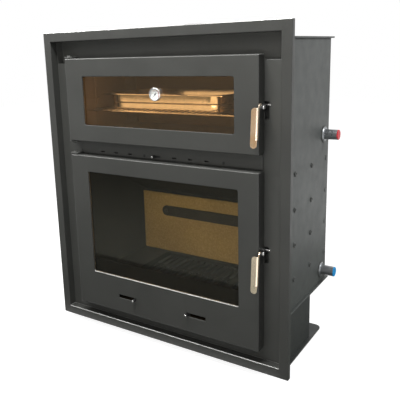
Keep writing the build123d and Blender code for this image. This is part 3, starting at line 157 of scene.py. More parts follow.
class MetalSettings(bpy.types.PropertyGroup):
    """Handle grips, baking tray, rack and the oven's enamel."""

    # The grips' warm tint stands in for the warm room that the polished steel mirrors: a painted reflection
    grip: FloatVectorProperty(
        name="Grip", description="Colour of the stainless grips", subtype="COLOR",
        size=3, min=0, max=1, default=(0.95, 0.79, 0.61))
    liner: FloatVectorProperty(
        name="Oven liner", description="Colour of the oven's enamel", subtype="COLOR",
        size=3, min=0, max=1, default=(0.20, 0.16, 0.12))
    tray: FloatVectorProperty(
        name="Tray", description="Colour of the baking tray", subtype="COLOR",
        size=3, min=0, max=1, default=(0.94, 0.90, 0.84))
    rack: FloatVectorProperty(
        name="Rack", description="Colour of the chromed wire", subtype="COLOR",
        size=3, min=0, max=1, default=(0.74, 0.72, 0.68))


class GlassSettings(bpy.types.PropertyGroup):
    """Ceramic glass of the two doors."""

    oven_tint: FloatVectorProperty(
        name="Oven tint", description="Amber tint of the oven door's glass", subtype="COLOR",
        size=3, min=0, max=1, default=(0.95, 0.72, 0.46))
    fire_tint: FloatVectorProperty(
        name="Fire tint", description="Paler tint of the fire door's glass", subtype="COLOR",
        size=3, min=0, max=1, default=(0.93, 0.80, 0.60))
    ior: FloatProperty(
        name="Index", description="Index of refraction", min=1, max=2, default=1.5)


class StageSettings(bpy.types.PropertyGroup):
    """Camera, lamps and backdrop."""

    camera_place: FloatVectorProperty(
        name="Camera", description="Place of the camera", subtype="XYZ", unit="LENGTH",
        size=3, default=(1.0169, -1.6168, 0.9881))
    yaw: FloatProperty(
        name="Yaw", description="Turn of the camera to the left", subtype="ANGLE",
        default=math.radians(33.97))
    pitch: FloatProperty(
        name="Pitch", description="Tilt of the camera upwards", subtype="ANGLE",
        default=math.radians(-12.34))
    roll: FloatProperty(
        name="Roll", description="Roll of the camera", subtype="ANGLE",
        default=math.radians(-1.84))
    lens: FloatProperty(
        name="Lens", description="Focal length in millimetres", min=10, max=200, default=49.76)
    shift: FloatVectorProperty(
        name="Shift", description="Shift that frames the object", size=2, default=(0.0605, -0.0704))
    overhead: FloatProperty(
        name="Overhead lamp", description="Power of the lamp over the front", unit="POWER",
        min=0, default=44)
    edge: FloatProperty(
        name="Edge lamp", description="Power of the lamp high on the left that lights the edges",
        unit="POWER", min=0, default=30)
    side: FloatProperty(
        name="Side lamp", description="Power of the lamp on the right", unit="POWER",
        min=0, default=50)
    front: FloatProperty(
        name="Front lamp", description="Power of the lamp high in front", unit="POWER",
        min=0, default=13)
    tray: FloatProperty(
        name="Tray lamp", description="Power of the low lamp that the tray's corner mirrors",
        unit="POWER", min=0, default=4.2)
    sky: FloatProperty(
        name="Sky", description="Strength of the even light from all round", min=0, default=0.24)
    floor_glow: FloatProperty(
        name="Floor glow", description="Share of the floor that reads as plain white",
        subtype="FACTOR", min=0, max=1, default=0.90)


class TraySettings(bpy.types.PropertyGroup):
    """Pressed baking tray."""

    corner: FloatProperty(
        name="Corner", description="Radius of the pan's upright corners", subtype="DISTANCE",
        unit="LENGTH", min=0.01, max=0.08, default=0.056)
    rim: FloatProperty(
        name="Rim", description="Width of the flat rim", subtype="DISTANCE",
        unit="LENGTH", min=0.002, max=0.02, default=0.0100)
    rim_corner: FloatProperty(
        name="Rim corner", description="Radius of the rim's corners", subtype="DISTANCE",
        unit="LENGTH", min=0.002, max=0.05, default=0.012)
    lip: FloatProperty(
        name="Lip", description="Height of the rim's turned-down lip", subtype="DISTANCE",
        unit="LENGTH", min=0.001, max=0.01, default=0.0036)
    lower_band: FloatProperty(
        name="Lower band", description="Height of the wall below the groove", subtype="DISTANCE",
        unit="LENGTH", min=0.01, max=0.04, default=0.0225)
    groove: FloatProperty(
        name="Groove", description="Depth of the groove pressed round the wall", subtype="DISTANCE",
        unit="LENGTH", min=0, max=0.005, default=0.0030)
    flare: FloatProperty(
        name="Flare", description="How far each band of the wall leans outwards", subtype="DISTANCE",
        unit="LENGTH", min=0, max=0.006, default=0.0024)
    sheet: FloatProperty(
        name="Sheet", description="Thickness of the sheet", subtype="DISTANCE",
        unit="LENGTH", min=0.0005, max=0.002, default=0.0010)


class DialSettings(bpy.types.PropertyGroup):
    """Scale printed on the oven thermometer."""

    top_mark: IntProperty(name="Top mark", description="Highest number on the scale", default=500)
    steps: IntProperty(name="Steps", description="Numbered steps on the scale", min=1, max=10, default=5)
    sweep: FloatProperty(
        name="Sweep", description="Angle that the scale covers", subtype="ANGLE",
        default=math.radians(270))
    tick_radius: FloatProperty(
        name="Tick radius", description="Radius of the middle of the ticks", subtype="DISTANCE",
        unit="LENGTH", default=0.0150)
    figure_size: FloatProperty(
        name="Figure size", description="Height of the numbers", subtype="DISTANCE",
        unit="LENGTH", default=0.0036)


class WeldSettings(bpy.types.PropertyGroup):
    """Weld beads on the water jacket."""

    stay_radius: FloatProperty(
        name="Stay bead", description="Radius of the bead round a stay", subtype="DISTANCE",
        unit="LENGTH", default=0.0056)
    pipe_radius: FloatProperty(
        name="Pipe bead", description="Radius of the bead round a pipe socket", subtype="DISTANCE",
        unit="LENGTH", default=0.0262)
    thickness: FloatProperty(
        name="Bead", description="Thickness of a bead", subtype="DISTANCE",
        unit="LENGTH", default=0.0020)


# Node building


class Nodes:
    """A material's node tree with short calls for what every finish here needs."""

    def __init__(self, name):
        self.material = bpy.data.materials.new(name)
        self.material.use_nodes = True
        self.tree = self.material.node_tree
        self.tree.nodes.clear()
        self.out = self.add("ShaderNodeOutputMaterial")
        self.shader = self.add("ShaderNodeBsdfPrincipled")
        self.join(self.shader, "BSDF", self.out, "Surface")
        self.place = self.add("ShaderNodeTexCoord")

    def add(self, kind, **values):
        node = self.tree.nodes.new(kind)
        for key, value in values.items():
            if key in node.inputs:
                node.inputs[key].default_value = value
            else:
                setattr(node, key, value)
        return node

    def join(self, a, a_name, b, b_name):
        self.tree.links.new(a.outputs[a_name], b.inputs[b_name])

    def mapped(self, scale=(1, 1, 1)):
        node = self.add("ShaderNodeMapping", Scale=scale)
        self.join(self.place, "Object", node, "Vector")
        return node

    def noise(self, scale, detail=2.0, roughness=0.5, stretch=(1, 1, 1)):
        node = self.add("ShaderNodeTexNoise", Scale=scale, Detail=detail, Roughness=roughness)
        self.join(self.mapped(stretch), "Vector", node, "Vector")
        return node

    def ramp(self, source, output, stops):
        node = self.add("ShaderNodeValToRGB")
        self.join(source, output, node, "Fac")
        marks = node.color_ramp.elements
        while len(marks) < len(stops):
            marks.new(0.5)
        for mark, (position, colour) in zip(marks, stops):
            mark.position = position
            mark.color = (*colour, 1)
        return node

    def span(self, source, output, low, high, start=0.0, end=1.0):
        node = self.add("ShaderNodeMapRange")
        self.join(source, output, node, "Value")
        node.inputs["From Min"].default_value = start
        node.inputs["From Max"].default_value = end
        node.inputs["To Min"].default_value = low
        node.inputs["To Max"].default_value = high
        return node

    def times(self, a, a_name, b, b_name):
        node = self.add("ShaderNodeMath", operation="MULTIPLY")
        self.join(a, a_name, node, 0)
        self.join(b, b_name, node, 1)
        return node

    def axes(self, source, output):
        node = self.add("ShaderNodeSeparateXYZ")
        self.join(source, output, node, "Vector")
        return node

    def multiplied(self, first, second, share=1.0):
        """The first colour multiplied by the second, by a share."""
        node = self.add("ShaderNodeMix", data_type="RGBA", blend_type="MULTIPLY", Factor=share)
        self.join(first, "Color", node, "A")
        self.join(second, "Color", node, "B")
        return node

    def covered(self, coat, share, share_name, colour):
        """A mixed coat that gives way to a plain colour where the share is high."""
        node = self.add("ShaderNodeMix", data_type="RGBA")
        self.join(share, share_name, node, "Factor")
        self.join(coat, "Result", node, "A")
        node.inputs["B"].default_value = colour
        return node

    def even(self, roughness, specular=None):
        """One roughness all over, and one strength of reflection if it is given."""
        self.shader.inputs["Roughness"].default_value = roughness
        if specular is not None:
            self.shader.inputs["Specular IOR Level"].default_value = specular

    def give_way(self, share, share_name, other, other_name):
        """Let another shader take the main one's place by a share."""
        mix = self.add("ShaderNodeMixShader")
        self.join(share, share_name, mix, "Fac")
        self.join(self.shader, "BSDF", mix, 1)
        self.join(other, other_name, mix, 2)
        self.join(mix, "Shader", self.out, "Surface")

    def rounded_edge(self, radius):
        """Normals that turn softly over sharp edges, so that they catch the light."""
        return self.add("ShaderNodeBevel", samples=6, Radius=radius)

    def upper_edge(self, edge, most, lowest):
        """High where a rounded edge above a level turns upwards, broken up by fine noise: where the bright
        steel goes, partly wear and partly a painted highlight.
        """
        surface = self.add("ShaderNodeNewGeometry")
        turned = self.add("ShaderNodeVectorMath", operation="DOT_PRODUCT")
        self.join(edge, "Normal", turned, 0)
        self.join(surface, "True Normal", turned, 1)
        bend = self.span(turned, "Value", most, 0.0, 0.90, 0.99)
        upward = self.span(self.axes(edge, "Normal"), "Z", 0.0, 1.0, 0.18, 0.5)
        both = self.times(bend, "Result", upward, "Result")
        above = self.span(self.axes(self.place, "Object"), "Z", 0.0, 1.0, lowest, lowest + 0.002)
        both = self.times(both, "Value", above, "Result")
        patchy = self.span(self.noise(35.0, 3.0), "Fac", 0.75, 1.0, 0.35, 0.6)
        return self.times(both, "Value", patchy, "Result")

    def bump(self, source, output, strength, distance, under=None):
        node = self.add("ShaderNodeBump", Strength=strength, Distance=distance)
        self.join(source, output, node, "Height")
        if under:
            self.join(under, "Normal", node, "Normal")
        self.join(node, "Normal", self.shader, "Normal")
        return node


def shade(colour, factor):
    """The colour made lighter or darker."""
    return tuple(min(1.0, channel * factor) for channel in colour)


def stove_paint(name, settings, tone=1.0, roughness=0.0, cast=(1, 1, 1), wear_and_highlight=None, sooty=None):
    """Satin stove paint: faint clouds of tone and a fine sprayed grain.

    The argument for worn edges holds how strongly upper edges are rubbed bright, partly as wear and partly
    as a painted highlight on edges that face up to the lamps, and the height where that starts.
    sooty is the half width inside which soot covers the paint.
    """
    m = Nodes(name)
    base = tuple(channel * share for channel, share in zip(shade(settings.colour, tone), cast))
    clouds = m.noise(5.0, 3.0, 0.55)
    tint = m.ramp(clouds, "Fac", [(0.30, shade(base, 0.90)), (0.72, shade(base, 1.10))])
    dust = m.noise(0.8 / settings.grain, 2.0, 0.6)
    specks = m.ramp(dust, "Fac", [(0.42, (0.84, 0.84, 0.84)), (0.66, (1.12, 1.12, 1.12))])
    coat = m.multiplied(tint, specks, 0.55)
    mean = settings.roughness + roughness
    gloss = m.span(m.noise(22.0, 4.0, 0.6), "Fac", mean - 0.06, mean + 0.06, 0.3, 0.7)
    m.join(gloss, "Result", m.shader, "Roughness")
    m.shader.inputs["Specular IOR Level"].default_value = PAINT_GLOSS
    edge = m.rounded_edge(settings.edge)
    # Upper edges turn to bright bare steel: partly wear, partly a painted highlight, as only edges that
    # face up to the lamps get it
    if wear_and_highlight:
        edge_wear_and_highlight = m.upper_edge(edge, *wear_and_highlight)
        coat = m.covered(coat, edge_wear_and_highlight, "Value", RUBBED_STEEL_AND_HIGHLIGHT)
        m.join(edge_wear_and_highlight, "Value", m.shader, "Metallic")
    elif sooty:
        from_middle = m.add("ShaderNodeMath", operation="ABSOLUTE")
        m.join(m.axes(m.place, "Object"), "X", from_middle, 0)
        soot = m.span(from_middle, "Value", 1.0, 0.0, sooty - SOOT_FADE, sooty)
        coat = m.covered(coat, soot, "Result", DEEP_SOOT)
        m.join(m.span(soot, "Result", PAINT_GLOSS, SOOT_GLOSS), "Result", m.shader, "Specular IOR Level")
    m.join(coat, "Result", m.shader, "Base Color")
    rolled = m.bump(m.noise(60.0, 2.0), "Fac", 0.10, 0.0006, edge)
    m.bump(m.noise(1.0 / settings.grain, 2.0, 0.6), "Fac", 0.16, 0.0002, rolled)
    return m.material


def brushed_metal(name, colour, roughness, stretch, line=0.14, metallic=1.0, edge=0.0005):
    """Metal with fine lines along one direction, soft smears of handling and rounded edges."""
    m = Nodes(name)
    lines = m.noise(1.0, 3.0, 0.7, stretch)
    tint = m.ramp(lines, "Fac", [(0.25, shade(colour, 0.90)), (0.75, shade(colour, 1.06))])
    m.join(tint, "Color", m.shader, "Base Color")
    m.shader.inputs["Metallic"].default_value = metallic
    smear = m.noise(18.0, 3.0, 0.55)
    gloss = m.span(smear, "Fac", roughness * 0.78, roughness * 1.28, 0.3, 0.7)
    m.join(gloss, "Result", m.shader, "Roughness")
    m.bump(lines, "Fac", line, 0.0002, m.rounded_edge(edge))
    return m.material


def soot_black(name, tone=0.007):
    """Heat-blackened steel inside the firebox, with pale dust in places."""
    m = Nodes(name)
    dust = m.noise(9.0, 5.0, 0.62)
    pale = (tone * 2.2, tone * 2.1, tone * 1.9)
    tint = m.ramp(dust, "Fac", [(0.35, (tone, tone, tone)), (0.75, pale)])
    m.join(tint, "Color", m.shader, "Base Color")
    m.join(m.span(dust, "Fac", 0.7, 0.95, 0.3, 0.7), "Result", m.shader, "Roughness")
    m.shader.inputs["Specular IOR Level"].default_value = 0.03
    m.bump(m.noise(420.0, 3.0), "Fac", 0.3, 0.0004)
    return m.material


def cast_surface(name, colour):
    """Sand-cast iron with a coarse skin."""
    m = Nodes(name)
    skin = m.noise(360.0, 4.0, 0.65)
    tint = m.ramp(skin, "Fac", [(0.3, shade(colour, 0.7)), (0.7, shade(colour, 1.25))])
    m.join(tint, "Color", m.shader, "Base Color")
    m.even(0.85, 0.0)
    m.bump(skin, "Fac", 0.5, 0.0006)
    return m.material


def oven_enamel(name, colour):
    """Brown oven enamel: fine pale flecks in a glossy dark coat."""
    m = Nodes(name)
    flecks = m.noise(700.0, 2.0, 0.5)
    tint = m.ramp(flecks, "Fac", [(0.50, shade(colour, 0.92)), (0.68, shade(colour, 1.25))])
    clouds = m.noise(3.0, 3.0, 0.5)
    bake = m.ramp(clouds, "Fac", [(0.3, (0.86, 0.84, 0.80)), (0.7, (1.06, 1.05, 1.04))])
    m.join(m.multiplied(tint, bake), "Result", m.shader, "Base Color")
    m.join(m.span(clouds, "Fac", 0.42, 0.6, 0.3, 0.7), "Result", m.shader, "Roughness")
    m.bump(m.noise(120.0, 2.0), "Fac", 0.12, 0.0005)
    return m.material


def vermiculite(name):
    """Golden fire board with flat flecks pressed into it."""
    m = Nodes(name)
    flecks = m.add("ShaderNodeTexVoronoi", Scale=210.0)
    m.join(m.mapped(), "Vector", flecks, "Vector")
    tint = m.ramp(flecks, "Color", [
        (0.15, (0.42, 0.34, 0.14)), (0.55, (0.48, 0.39, 0.17)), (0.9, (0.55, 0.46, 0.21))])
    clouds = m.noise(4.0, 3.0)
    shadow = m.ramp(clouds, "Fac", [(0.3, (0.82, 0.80, 0.78)), (0.7, (1.05, 1.05, 1.05))])
    m.join(m.multiplied(tint, shadow), "Result", m.shader, "Base Color")
    m.even(0.62)
    m.bump(flecks, "Distance", 0.25, 0.0006)
    return m.material


def stove_glass(name, tint, ior):
    """Clear tinted glass that lets the lamps' light through to what is behind it."""
    m = Nodes(name)
    haze = m.noise(3.0, 3.0)
    gloss = m.span(haze, "Fac", 0.0, 0.03, 0.35, 0.75)
    m.join(gloss, "Result", m.shader, "Roughness")
    m.shader.inputs["Base Color"].default_value = (*tint, 1)
    m.shader.inputs["Transmission Weight"].default_value = 1.0
    m.shader.inputs["IOR"].default_value = ior
    clear = m.add("ShaderNodeBsdfTransparent")
    clear.inputs["Color"].default_value = (*tint, 1)
    rays = m.add("ShaderNodeLightPath")
    m.give_way(rays, "Is Shadow Ray", clear, "BSDF")
    return m.material


def rope_weave(name):
    """Knitted glass-fibre rope, dark grey."""
    m = Nodes(name)
    waves = m.add("ShaderNodeTexWave", bands_direction="DIAGONAL", Scale=260.0, Distortion=1.5, Detail=1.0)
    m.join(m.mapped(), "Vector", waves, "Vector")
    tint = m.ramp(waves, "Fac", [(0.2, (0.035, 0.035, 0.035)), (0.8, (0.16, 0.16, 0.155))])
    m.join(tint, "Color", m.shader, "Base Color")
    m.even(0.92)
    m.bump(waves, "Fac", 0.8, 0.0012)
    return m.material


def moulded_plastic(name, colour):
    """Smooth plastic or lacquer: the pipe plugs, the needle and the dial's print."""
    m = Nodes(name)
    flow = m.noise(40.0, 2.0)
    tint = m.ramp(flow, "Fac", [(0.3, shade(colour, 0.88)), (0.7, shade(colour, 1.10))])
    m.join(tint, "Color", m.shader, "Base Color")
    m.even(0.35, 0.25)
    m.bump(m.noise(900.0, 1.0), "Fac", 0.05, 0.0001)
    return m.material


def printed_dial(name):
    """White lacquered dial sheet."""
    m = Nodes(name)
    sheet = m.noise(300.0, 2.0)
    tint = m.ramp(sheet, "Fac", [(0.3, (0.80, 0.79, 0.75)), (0.7, (0.87, 0.86, 0.83))])
    m.join(tint, "Color", m.shader, "Base Color")
    m.even(0.35)
    m.bump(sheet, "Fac", 0.03, 0.0001)
    return m.material


def dress(material, *names):
    """Give CAD pieces their finish."""
    for name in names:
        slots = NODES[name].data.materials
        slots.clear()
        slots.append(material)


# Stage


def look_matrix(settings):
    """Camera turned as the photograph's, from yaw, pitch and roll."""
    yaw, pitch, roll = settings.yaw, settings.pitch, settings.roll
    level = math.cos(pitch)
    forward = Vector((-math.sin(yaw) * level, math.cos(yaw) * level, math.sin(pitch)))
    right = Vector((math.cos(yaw), math.sin(yaw), 0))
    up = right.cross(forward)
    across = right * math.cos(roll) + up * math.sin(roll)
    above = up * math.cos(roll) - right * math.sin(roll)
    turn = Matrix((across, above, -forward)).transposed().to_4x4()
    return Matrix.Translation(settings.camera_place) @ turn


def area_lamp(name, place, target, size, power, colour):
    """A soft rectangular lamp aimed at a point."""
    bpy.ops.object.light_add(type="AREA", location=place)
    lamp = bpy.context.object
    lamp.name = name
    lamp.data.shape = "RECTANGLE"
    lamp.data.size, lamp.data.size_y = size
    lamp.data.energy = power
    lamp.data.color = colour
    lamp.rotation_euler = (Vector(target) - Vector(place)).to_track_quat("-Z", "Y").to_euler()
    return lamp


def seen_directly(tree):
    """A value that is 1 for camera, glossy and transmitted rays and 0 for all others."""
    rays = tree.nodes.new("ShaderNodeLightPath")
    seen = rays.outputs["Is Camera Ray"]
    for kind in ("Is Glossy Ray", "Is Transmission Ray"):
        either = tree.nodes.new("ShaderNodeMath")
        either.operation = "MAXIMUM"
        tree.links.new(seen, either.inputs[0])
        tree.links.new(rays.outputs[kind], either.inputs[1])
        seen = either.outputs["Value"]
    return seen


def pale_floor(name, glow):
    """Pale matte floor that reads as white, keeps soft shadows and throws little light back up."""
    m = Nodes(name)
    seen = seen_directly(m.tree)
    grain = m.noise(30.0, 2.0)
    pale = m.ramp(grain, "Fac", [(0.3, (0.88, 0.88, 0.88)), (0.7, (0.92, 0.92, 0.92))])
    tint = m.add("ShaderNodeMix", data_type="RGBA")
    m.tree.links.new(seen, tint.inputs["Factor"])
    tint.inputs["A"].default_value = FLOOR_BOUNCE
    m.join(pale, "Color", tint, "B")
    m.join(tint, "Result", m.shader, "Base Color")
    m.even(0.9)
    light = m.add("ShaderNodeEmission", Strength=2 * glow)
    part = m.add("ShaderNodeMath", operation="MULTIPLY")
    m.tree.links.new(seen, part.inputs[0])
    part.inputs[1].default_value = 0.5
    m.give_way(part, "Value", light, "Emission")
    return m.material


def card_cloth(name, colour):
    """Matte cloth of the cards beside the stage."""
    m = Nodes(name)
    weave = m.noise(400.0, 2.0)
    tint = m.ramp(weave, "Fac", [(0.3, shade(colour, 0.9)), (0.7, shade(colour, 1.1))])
    m.join(tint, "Color", m.shader, "Base Color")
    m.even(1.0, 0.0)
    return m.material


def mirror_card(name, place, size, upright, through_glass, material):
    """A card that only mirrors see, or mirrors behind the glass as well."""
    turn = (math.radians(90), 0, 0) if upright else (0, 0, 0)
    bpy.ops.mesh.primitive_plane_add(size=1, location=place, rotation=turn)
    card = bpy.context.object
    card.name = name
    card.scale = (*size, 1)
    fix_place()
    card.data.materials.append(material)
    card.visible_camera = False
    card.visible_diffuse = False
    card.visible_transmission = through_glass
    card.visible_shadow = False


class FIREPLACE_OT_stage(bpy.types.Operator):
    """Set up the pale floor, the mirror cards, the white room, the lamps and the camera"""

    bl_idname = "fireplace.stage"
    bl_label = "Stage, Lamps and Camera"

    def execute(self, context):
        settings = context.scene.fireplace_stage
        bpy.ops.mesh.primitive_plane_add(size=FLOOR_SIZE, location=(0, 0, 0))
        floor = context.object
        floor.name = "floor"
        floor.data.materials.append(pale_floor("pale_floor", settings.floor_glow))
        context.scene.view_settings.view_transform = "Standard"

        cloths = {name: card_cloth(name, colour) for name, colour in CLOTHS.items()}
        for name, (place, size, upright, through_glass, cloth) in CARDS.items():
            mirror_card(name, place, size, upright, through_glass, cloths[cloth])

        world = bpy.data.worlds.new("white_room")
        context.scene.world = world
        world.use_nodes = True
        tree = world.node_tree
        tree.nodes.clear()
        out = tree.nodes.new("ShaderNodeOutputWorld")
        mix = tree.nodes.new("ShaderNodeMixShader")
        tree.links.new(seen_directly(tree), mix.inputs["Fac"])
        for place, strength in ((1, settings.sky), (2, 1.0)):
            light = tree.nodes.new("ShaderNodeBackground")
            light.inputs["Color"].default_value = WHITE
            light.inputs["Strength"].default_value = strength
            tree.links.new(light.outputs["Background"], mix.inputs[place])
        tree.links.new(mix.outputs["Shader"], out.inputs["Surface"])

        for name, (place, target, size, colour) in LAMPS.items():
            area_lamp(name + "_lamp", place, target, size, getattr(settings, name), colour)

        camera_data = bpy.data.cameras.new("photo_camera")
        camera = bpy.data.objects.new("photo_camera", camera_data)
        context.scene.collection.objects.link(camera)
        camera_data.sensor_width = 36
        camera_data.lens = settings.lens
        camera_data.shift_x, camera_data.shift_y = settings.shift
        camera_data.clip_end = 50
        camera.matrix_world = look_matrix(settings)
        context.scene.camera = camera
        return {"FINISHED"}


# Hand modelling


def only(piece):
    """Select one piece alone and make it the active one."""
    bpy.ops.object.select_all(action="DESELECT")
    piece.select_set(True)
    bpy.context.view_layer.objects.active = piece


def fix_place():
    """Put the selected pieces' places, turns and sizes into their meshes and return the active one."""
    bpy.ops.object.transform_apply(location=True, rotation=True, scale=True)
    return bpy.context.object


def open_edit(piece, kind="FACE"):
    """Edit mode on one piece with nothing selected."""
    only(piece)
    bpy.ops.object.mode_set(mode="EDIT")
    bpy.ops.mesh.select_mode(type=kind)
    bpy.ops.mesh.select_all(action="DESELECT")


def pick(piece, kind, test):
    """Select the faces, edges or points that pass a test of their middle and of themselves."""
    mesh = bmesh.from_edit_mesh(piece.data)
    for part in getattr(mesh, kind):
        if kind == "verts":
            middle = part.co
        elif kind == "edges":
            middle = (part.verts[0].co + part.verts[1].co) / 2
        else:
            middle = part.calc_center_median()
        if test(middle, part):
            part.select_set(True)
    bmesh.update_edit_mesh(piece.data)


def climb(edge):
    """The difference in height between an edge's ends."""
    return abs(edge.verts[0].co.z - edge.verts[1].co.z)


def settle(piece, angle=40):
    """Put the piece's place into its mesh and shade it."""
    if bpy.context.mode != "OBJECT":
        bpy.ops.object.mode_set(mode="OBJECT")
    only(piece)
    fix_place()
    bpy.ops.object.shade_smooth_by_angle(angle=math.radians(angle))


def copies(piece, moves):
    """Copies of a settled piece, each moved by its own step."""
    made = []
    for step in moves:
        only(piece)
        bpy.ops.object.duplicate(linked=False)
        bpy.ops.transform.translate(value=step)
        made.append(fix_place())
    return made


def joined(name, pieces, material, body):
    """Join pieces into one, name it, finish it and let it ride on its body."""
    bpy.ops.object.select_all(action="DESELECT")
    for piece in pieces:
        piece.select_set(True)
    bpy.context.view_layer.objects.active = pieces[0]
    if len(pieces) > 1:
        bpy.ops.object.join()
    whole = bpy.context.object
    whole.name = name
    whole.data.name = name
    whole.data.materials.clear()
    whole.data.materials.append(material)
    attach(whole, body)
    return whole


# Finishes


class FIREPLACE_OT_painted_steel(bpy.types.Operator):
    """Stove paint on the body, frame, doors, base and levers"""

    bl_idname = "fireplace.painted_steel"
    bl_label = "Painted Steel"

    def execute(self, context):
        paint = context.scene.fireplace_paint
        oven_door_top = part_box("oven_door_shell")[1].z
        dress(stove_paint("frame_paint", paint, wear_and_highlight=(RUB_AND_HIGHLIGHT, 0.0)), "frame_surround")
        dress(stove_paint("oven_door_paint", paint, 1.1, wear_and_highlight=(STRONG_RUB_AND_HIGHLIGHT, oven_door_top - OVEN_DOOR_RUB_AND_HIGHLIGHT)),
              "oven_door_shell")
        dress(stove_paint("fire_door_paint", paint, 1.0, wear_and_highlight=(RUB_AND_HIGHLIGHT, FIRE_DOOR_RUB_AND_HIGHLIGHT)), "fire_door_shell")
        # The recess paint's tone is raised, and the hood's much more, to lighten the shade the frame throws
        # on them: painted light
        dress(stove_paint("recess_paint", paint, 1.4), "face_plate", "cross_plate", "hinge_lugs",
              "hinge_pins", "oven_mouth_rim", "latch_pockets")
        dress(stove_paint("hood_paint", paint, 2.3), "top_recess_panel")
        # The body and the flange get lighter tones and the base a darker one of the same paint, so each
        # looks as lit as it should: painted light and shade
        dress(stove_paint("body_paint", paint, 1.5, 0.06, COOL_CAST), "outer_shell", "lid_plate",
              "flue_collar")
        dress(stove_paint("flange_paint", paint, 2.0, 0.06, COOL_CAST, sooty=SOOTY_FLANGE), "bottom_flange")
        dress(stove_paint("base_paint", paint, 0.9, 0.06, COOL_CAST, sooty=SOOTY_BASE), "base_box",
              "base_plate")
        dress(stove_paint("lever_paint", paint, 0.45, -0.1), "oven_handle_lever", "fire_handle_lever")
        return {"FINISHED"}


class FIREPLACE_OT_bare_metal(bpy.types.Operator):
    """Stainless grips and pins, pipes, dark sliders and screws, and zinc-plated parts inside"""

    bl_idname = "fireplace.bare_metal"
    bl_label = "Bare Metal"

    def execute(self, context):
        metal = context.scene.fireplace_metal
        # The grips' warm colour is a painted reflection of a warm room on stainless steel
        dress(brushed_metal("grip_steel", metal.grip, 0.22, (700, 700, 9)),
              "oven_handle_grip", "fire_handle_grip")
        dress(brushed_metal("pin_steel", (0.78, 0.77, 0.75), 0.22, (60, 60, 500)), "keeper_pins",
              "oven_handle_bolt", "fire_handle_bolt", "thermometer_case", "thermometer_nut")
        dress(brushed_metal("zinc_steel", (0.42, 0.42, 0.41), 0.45, (300, 300, 40)), "oven_glass_clips",
              "fire_glass_clips", "side_stays", "rear_stays", "water_tubes")
        dress(brushed_metal("pipe_steel", (0.30, 0.31, 0.32), 0.3, (9, 300, 300), line=0.1, metallic=0.7),
              "hot_pipe", "return_pipe")
        dress(brushed_metal("dark_slider", (0.03, 0.03, 0.03), 0.4, (40, 300, 300), metallic=0.4),
              "left_air_slider", "right_air_slider", "secondary_air_slider", "fixing_screws")
        return {"FINISHED"}


class FIREPLACE_OT_knob_domes(bpy.types.Operator):
    """Polished domes on the ends of the air slider knobs"""

    bl_idname = "fireplace.knob_domes"
    bl_label = "Knob Domes"

    def execute(self, context):
        steel = brushed_metal("dome_steel", (0.36, 0.36, 0.35), 0.24, (90, 90, 90), 0.03)
        for node, (x, z) in KNOBS.items():
            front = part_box(node)[0].y
            bpy.ops.mesh.primitive_uv_sphere_add(segments=24, ring_count=12, radius=KNOB_RADIUS,
                                                 location=(x, front, z))
            dome = fix_place()
            open_edit(dome)
            bpy.ops.mesh.select_all(action="SELECT")
            bpy.ops.mesh.bisect(plane_co=(x, front - 0.0001, z), plane_no=(0, 1, 0), clear_outer=True,
                                use_fill=True)
            bpy.ops.mesh.select_all(action="SELECT")
            bpy.ops.transform.resize(value=(1, DOME_FLATNESS, 1), center_override=(x, front, z))
            settle(dome)
            body = node.replace("slider", "slide")
            joined(node.replace("slider", "dome"), [dome], steel, body)
        return {"FINISHED"}


class FIREPLACE_OT_welds(bpy.types.Operator):
    """Weld beads round the stays of the water jacket and round the pipe sockets"""

    bl_idname = "fireplace.welds"
    bl_label = "Weld Beads"

    def bead(self, radius, thickness, place, turn, seed):
        """A slightly uneven ring of weld metal."""
        bpy.ops.mesh.primitive_torus_add(major_radius=radius, minor_radius=thickness, major_segments=36,
                                         minor_segments=8, location=place, rotation=turn)
        ring = fix_place()
        open_edit(ring, "VERT")
        bpy.ops.mesh.select_all(action="SELECT")
        bpy.ops.transform.vertex_random(offset=thickness * BEAD_UNEVENNESS, seed=seed)
        settle(ring, 70)
        return ring

    def execute(self, context):
        weld = context.scene.fireplace_welds
        paint = context.scene.fireplace_paint
        low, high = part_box("outer_shell")
        sideways = (0, math.radians(90), 0)
        backwards = (math.radians(90), 0, 0)
        stay = (weld.stay_radius, weld.thickness)
        lowest = STAY_LEVELS[0]
        rings = []
        for x in (low.x, high.x):
            first = self.bead(*stay, (x, SIDE_STAYS[0], lowest), sideways, 3)
            moves = [(0, y - SIDE_STAYS[0], z - lowest) for y in SIDE_STAYS for z in STAY_LEVELS]
            rings += [first] + copies(first, moves[1:])
        first = self.bead(*stay, (REAR_STAYS[0], high.y, lowest), backwards, 5)
        moves = [(x - REAR_STAYS[0], 0, z - lowest) for x in REAR_STAYS for z in STAY_LEVELS]
        rings += [first] + copies(first, moves[1:])
        for name in ("hot_pipe", "return_pipe"):
            pipe_low, pipe_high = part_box(name)
            middle = (pipe_low + pipe_high) / 2
            place = (high.x - SOCKET_INSET, middle.y, middle.z)
            rings.append(self.bead(weld.pipe_radius, weld.thickness * SOCKET_BEAD, place, sideways, 8))
        coat = stove_paint("bead_paint", paint, 1.3, -0.04)
        joined("weld_beads", rings, coat, "boiler")
        return {"FINISHED"}


class FIREPLACE_OT_firebox(bpy.types.Operator):
    """Blackened steel, fire board and cast iron inside the firebox"""

    bl_idname = "fireplace.firebox"
    bl_label = "Firebox"

    def execute(self, context):
        dress(soot_black("blackened_steel"), "firebox_shell", "baffle_plate", "fire_mouth_rim", "ash_pan",
              "air_slider_rails")
        dress(soot_black("strap_steel", 0.02), "back_strap")
        dress(vermiculite("fire_board"), "back_plate")
        dress(cast_surface("cast_iron", (0.0035, 0.0036, 0.0038)), "grate", "log_guard")
        return {"FINISHED"}


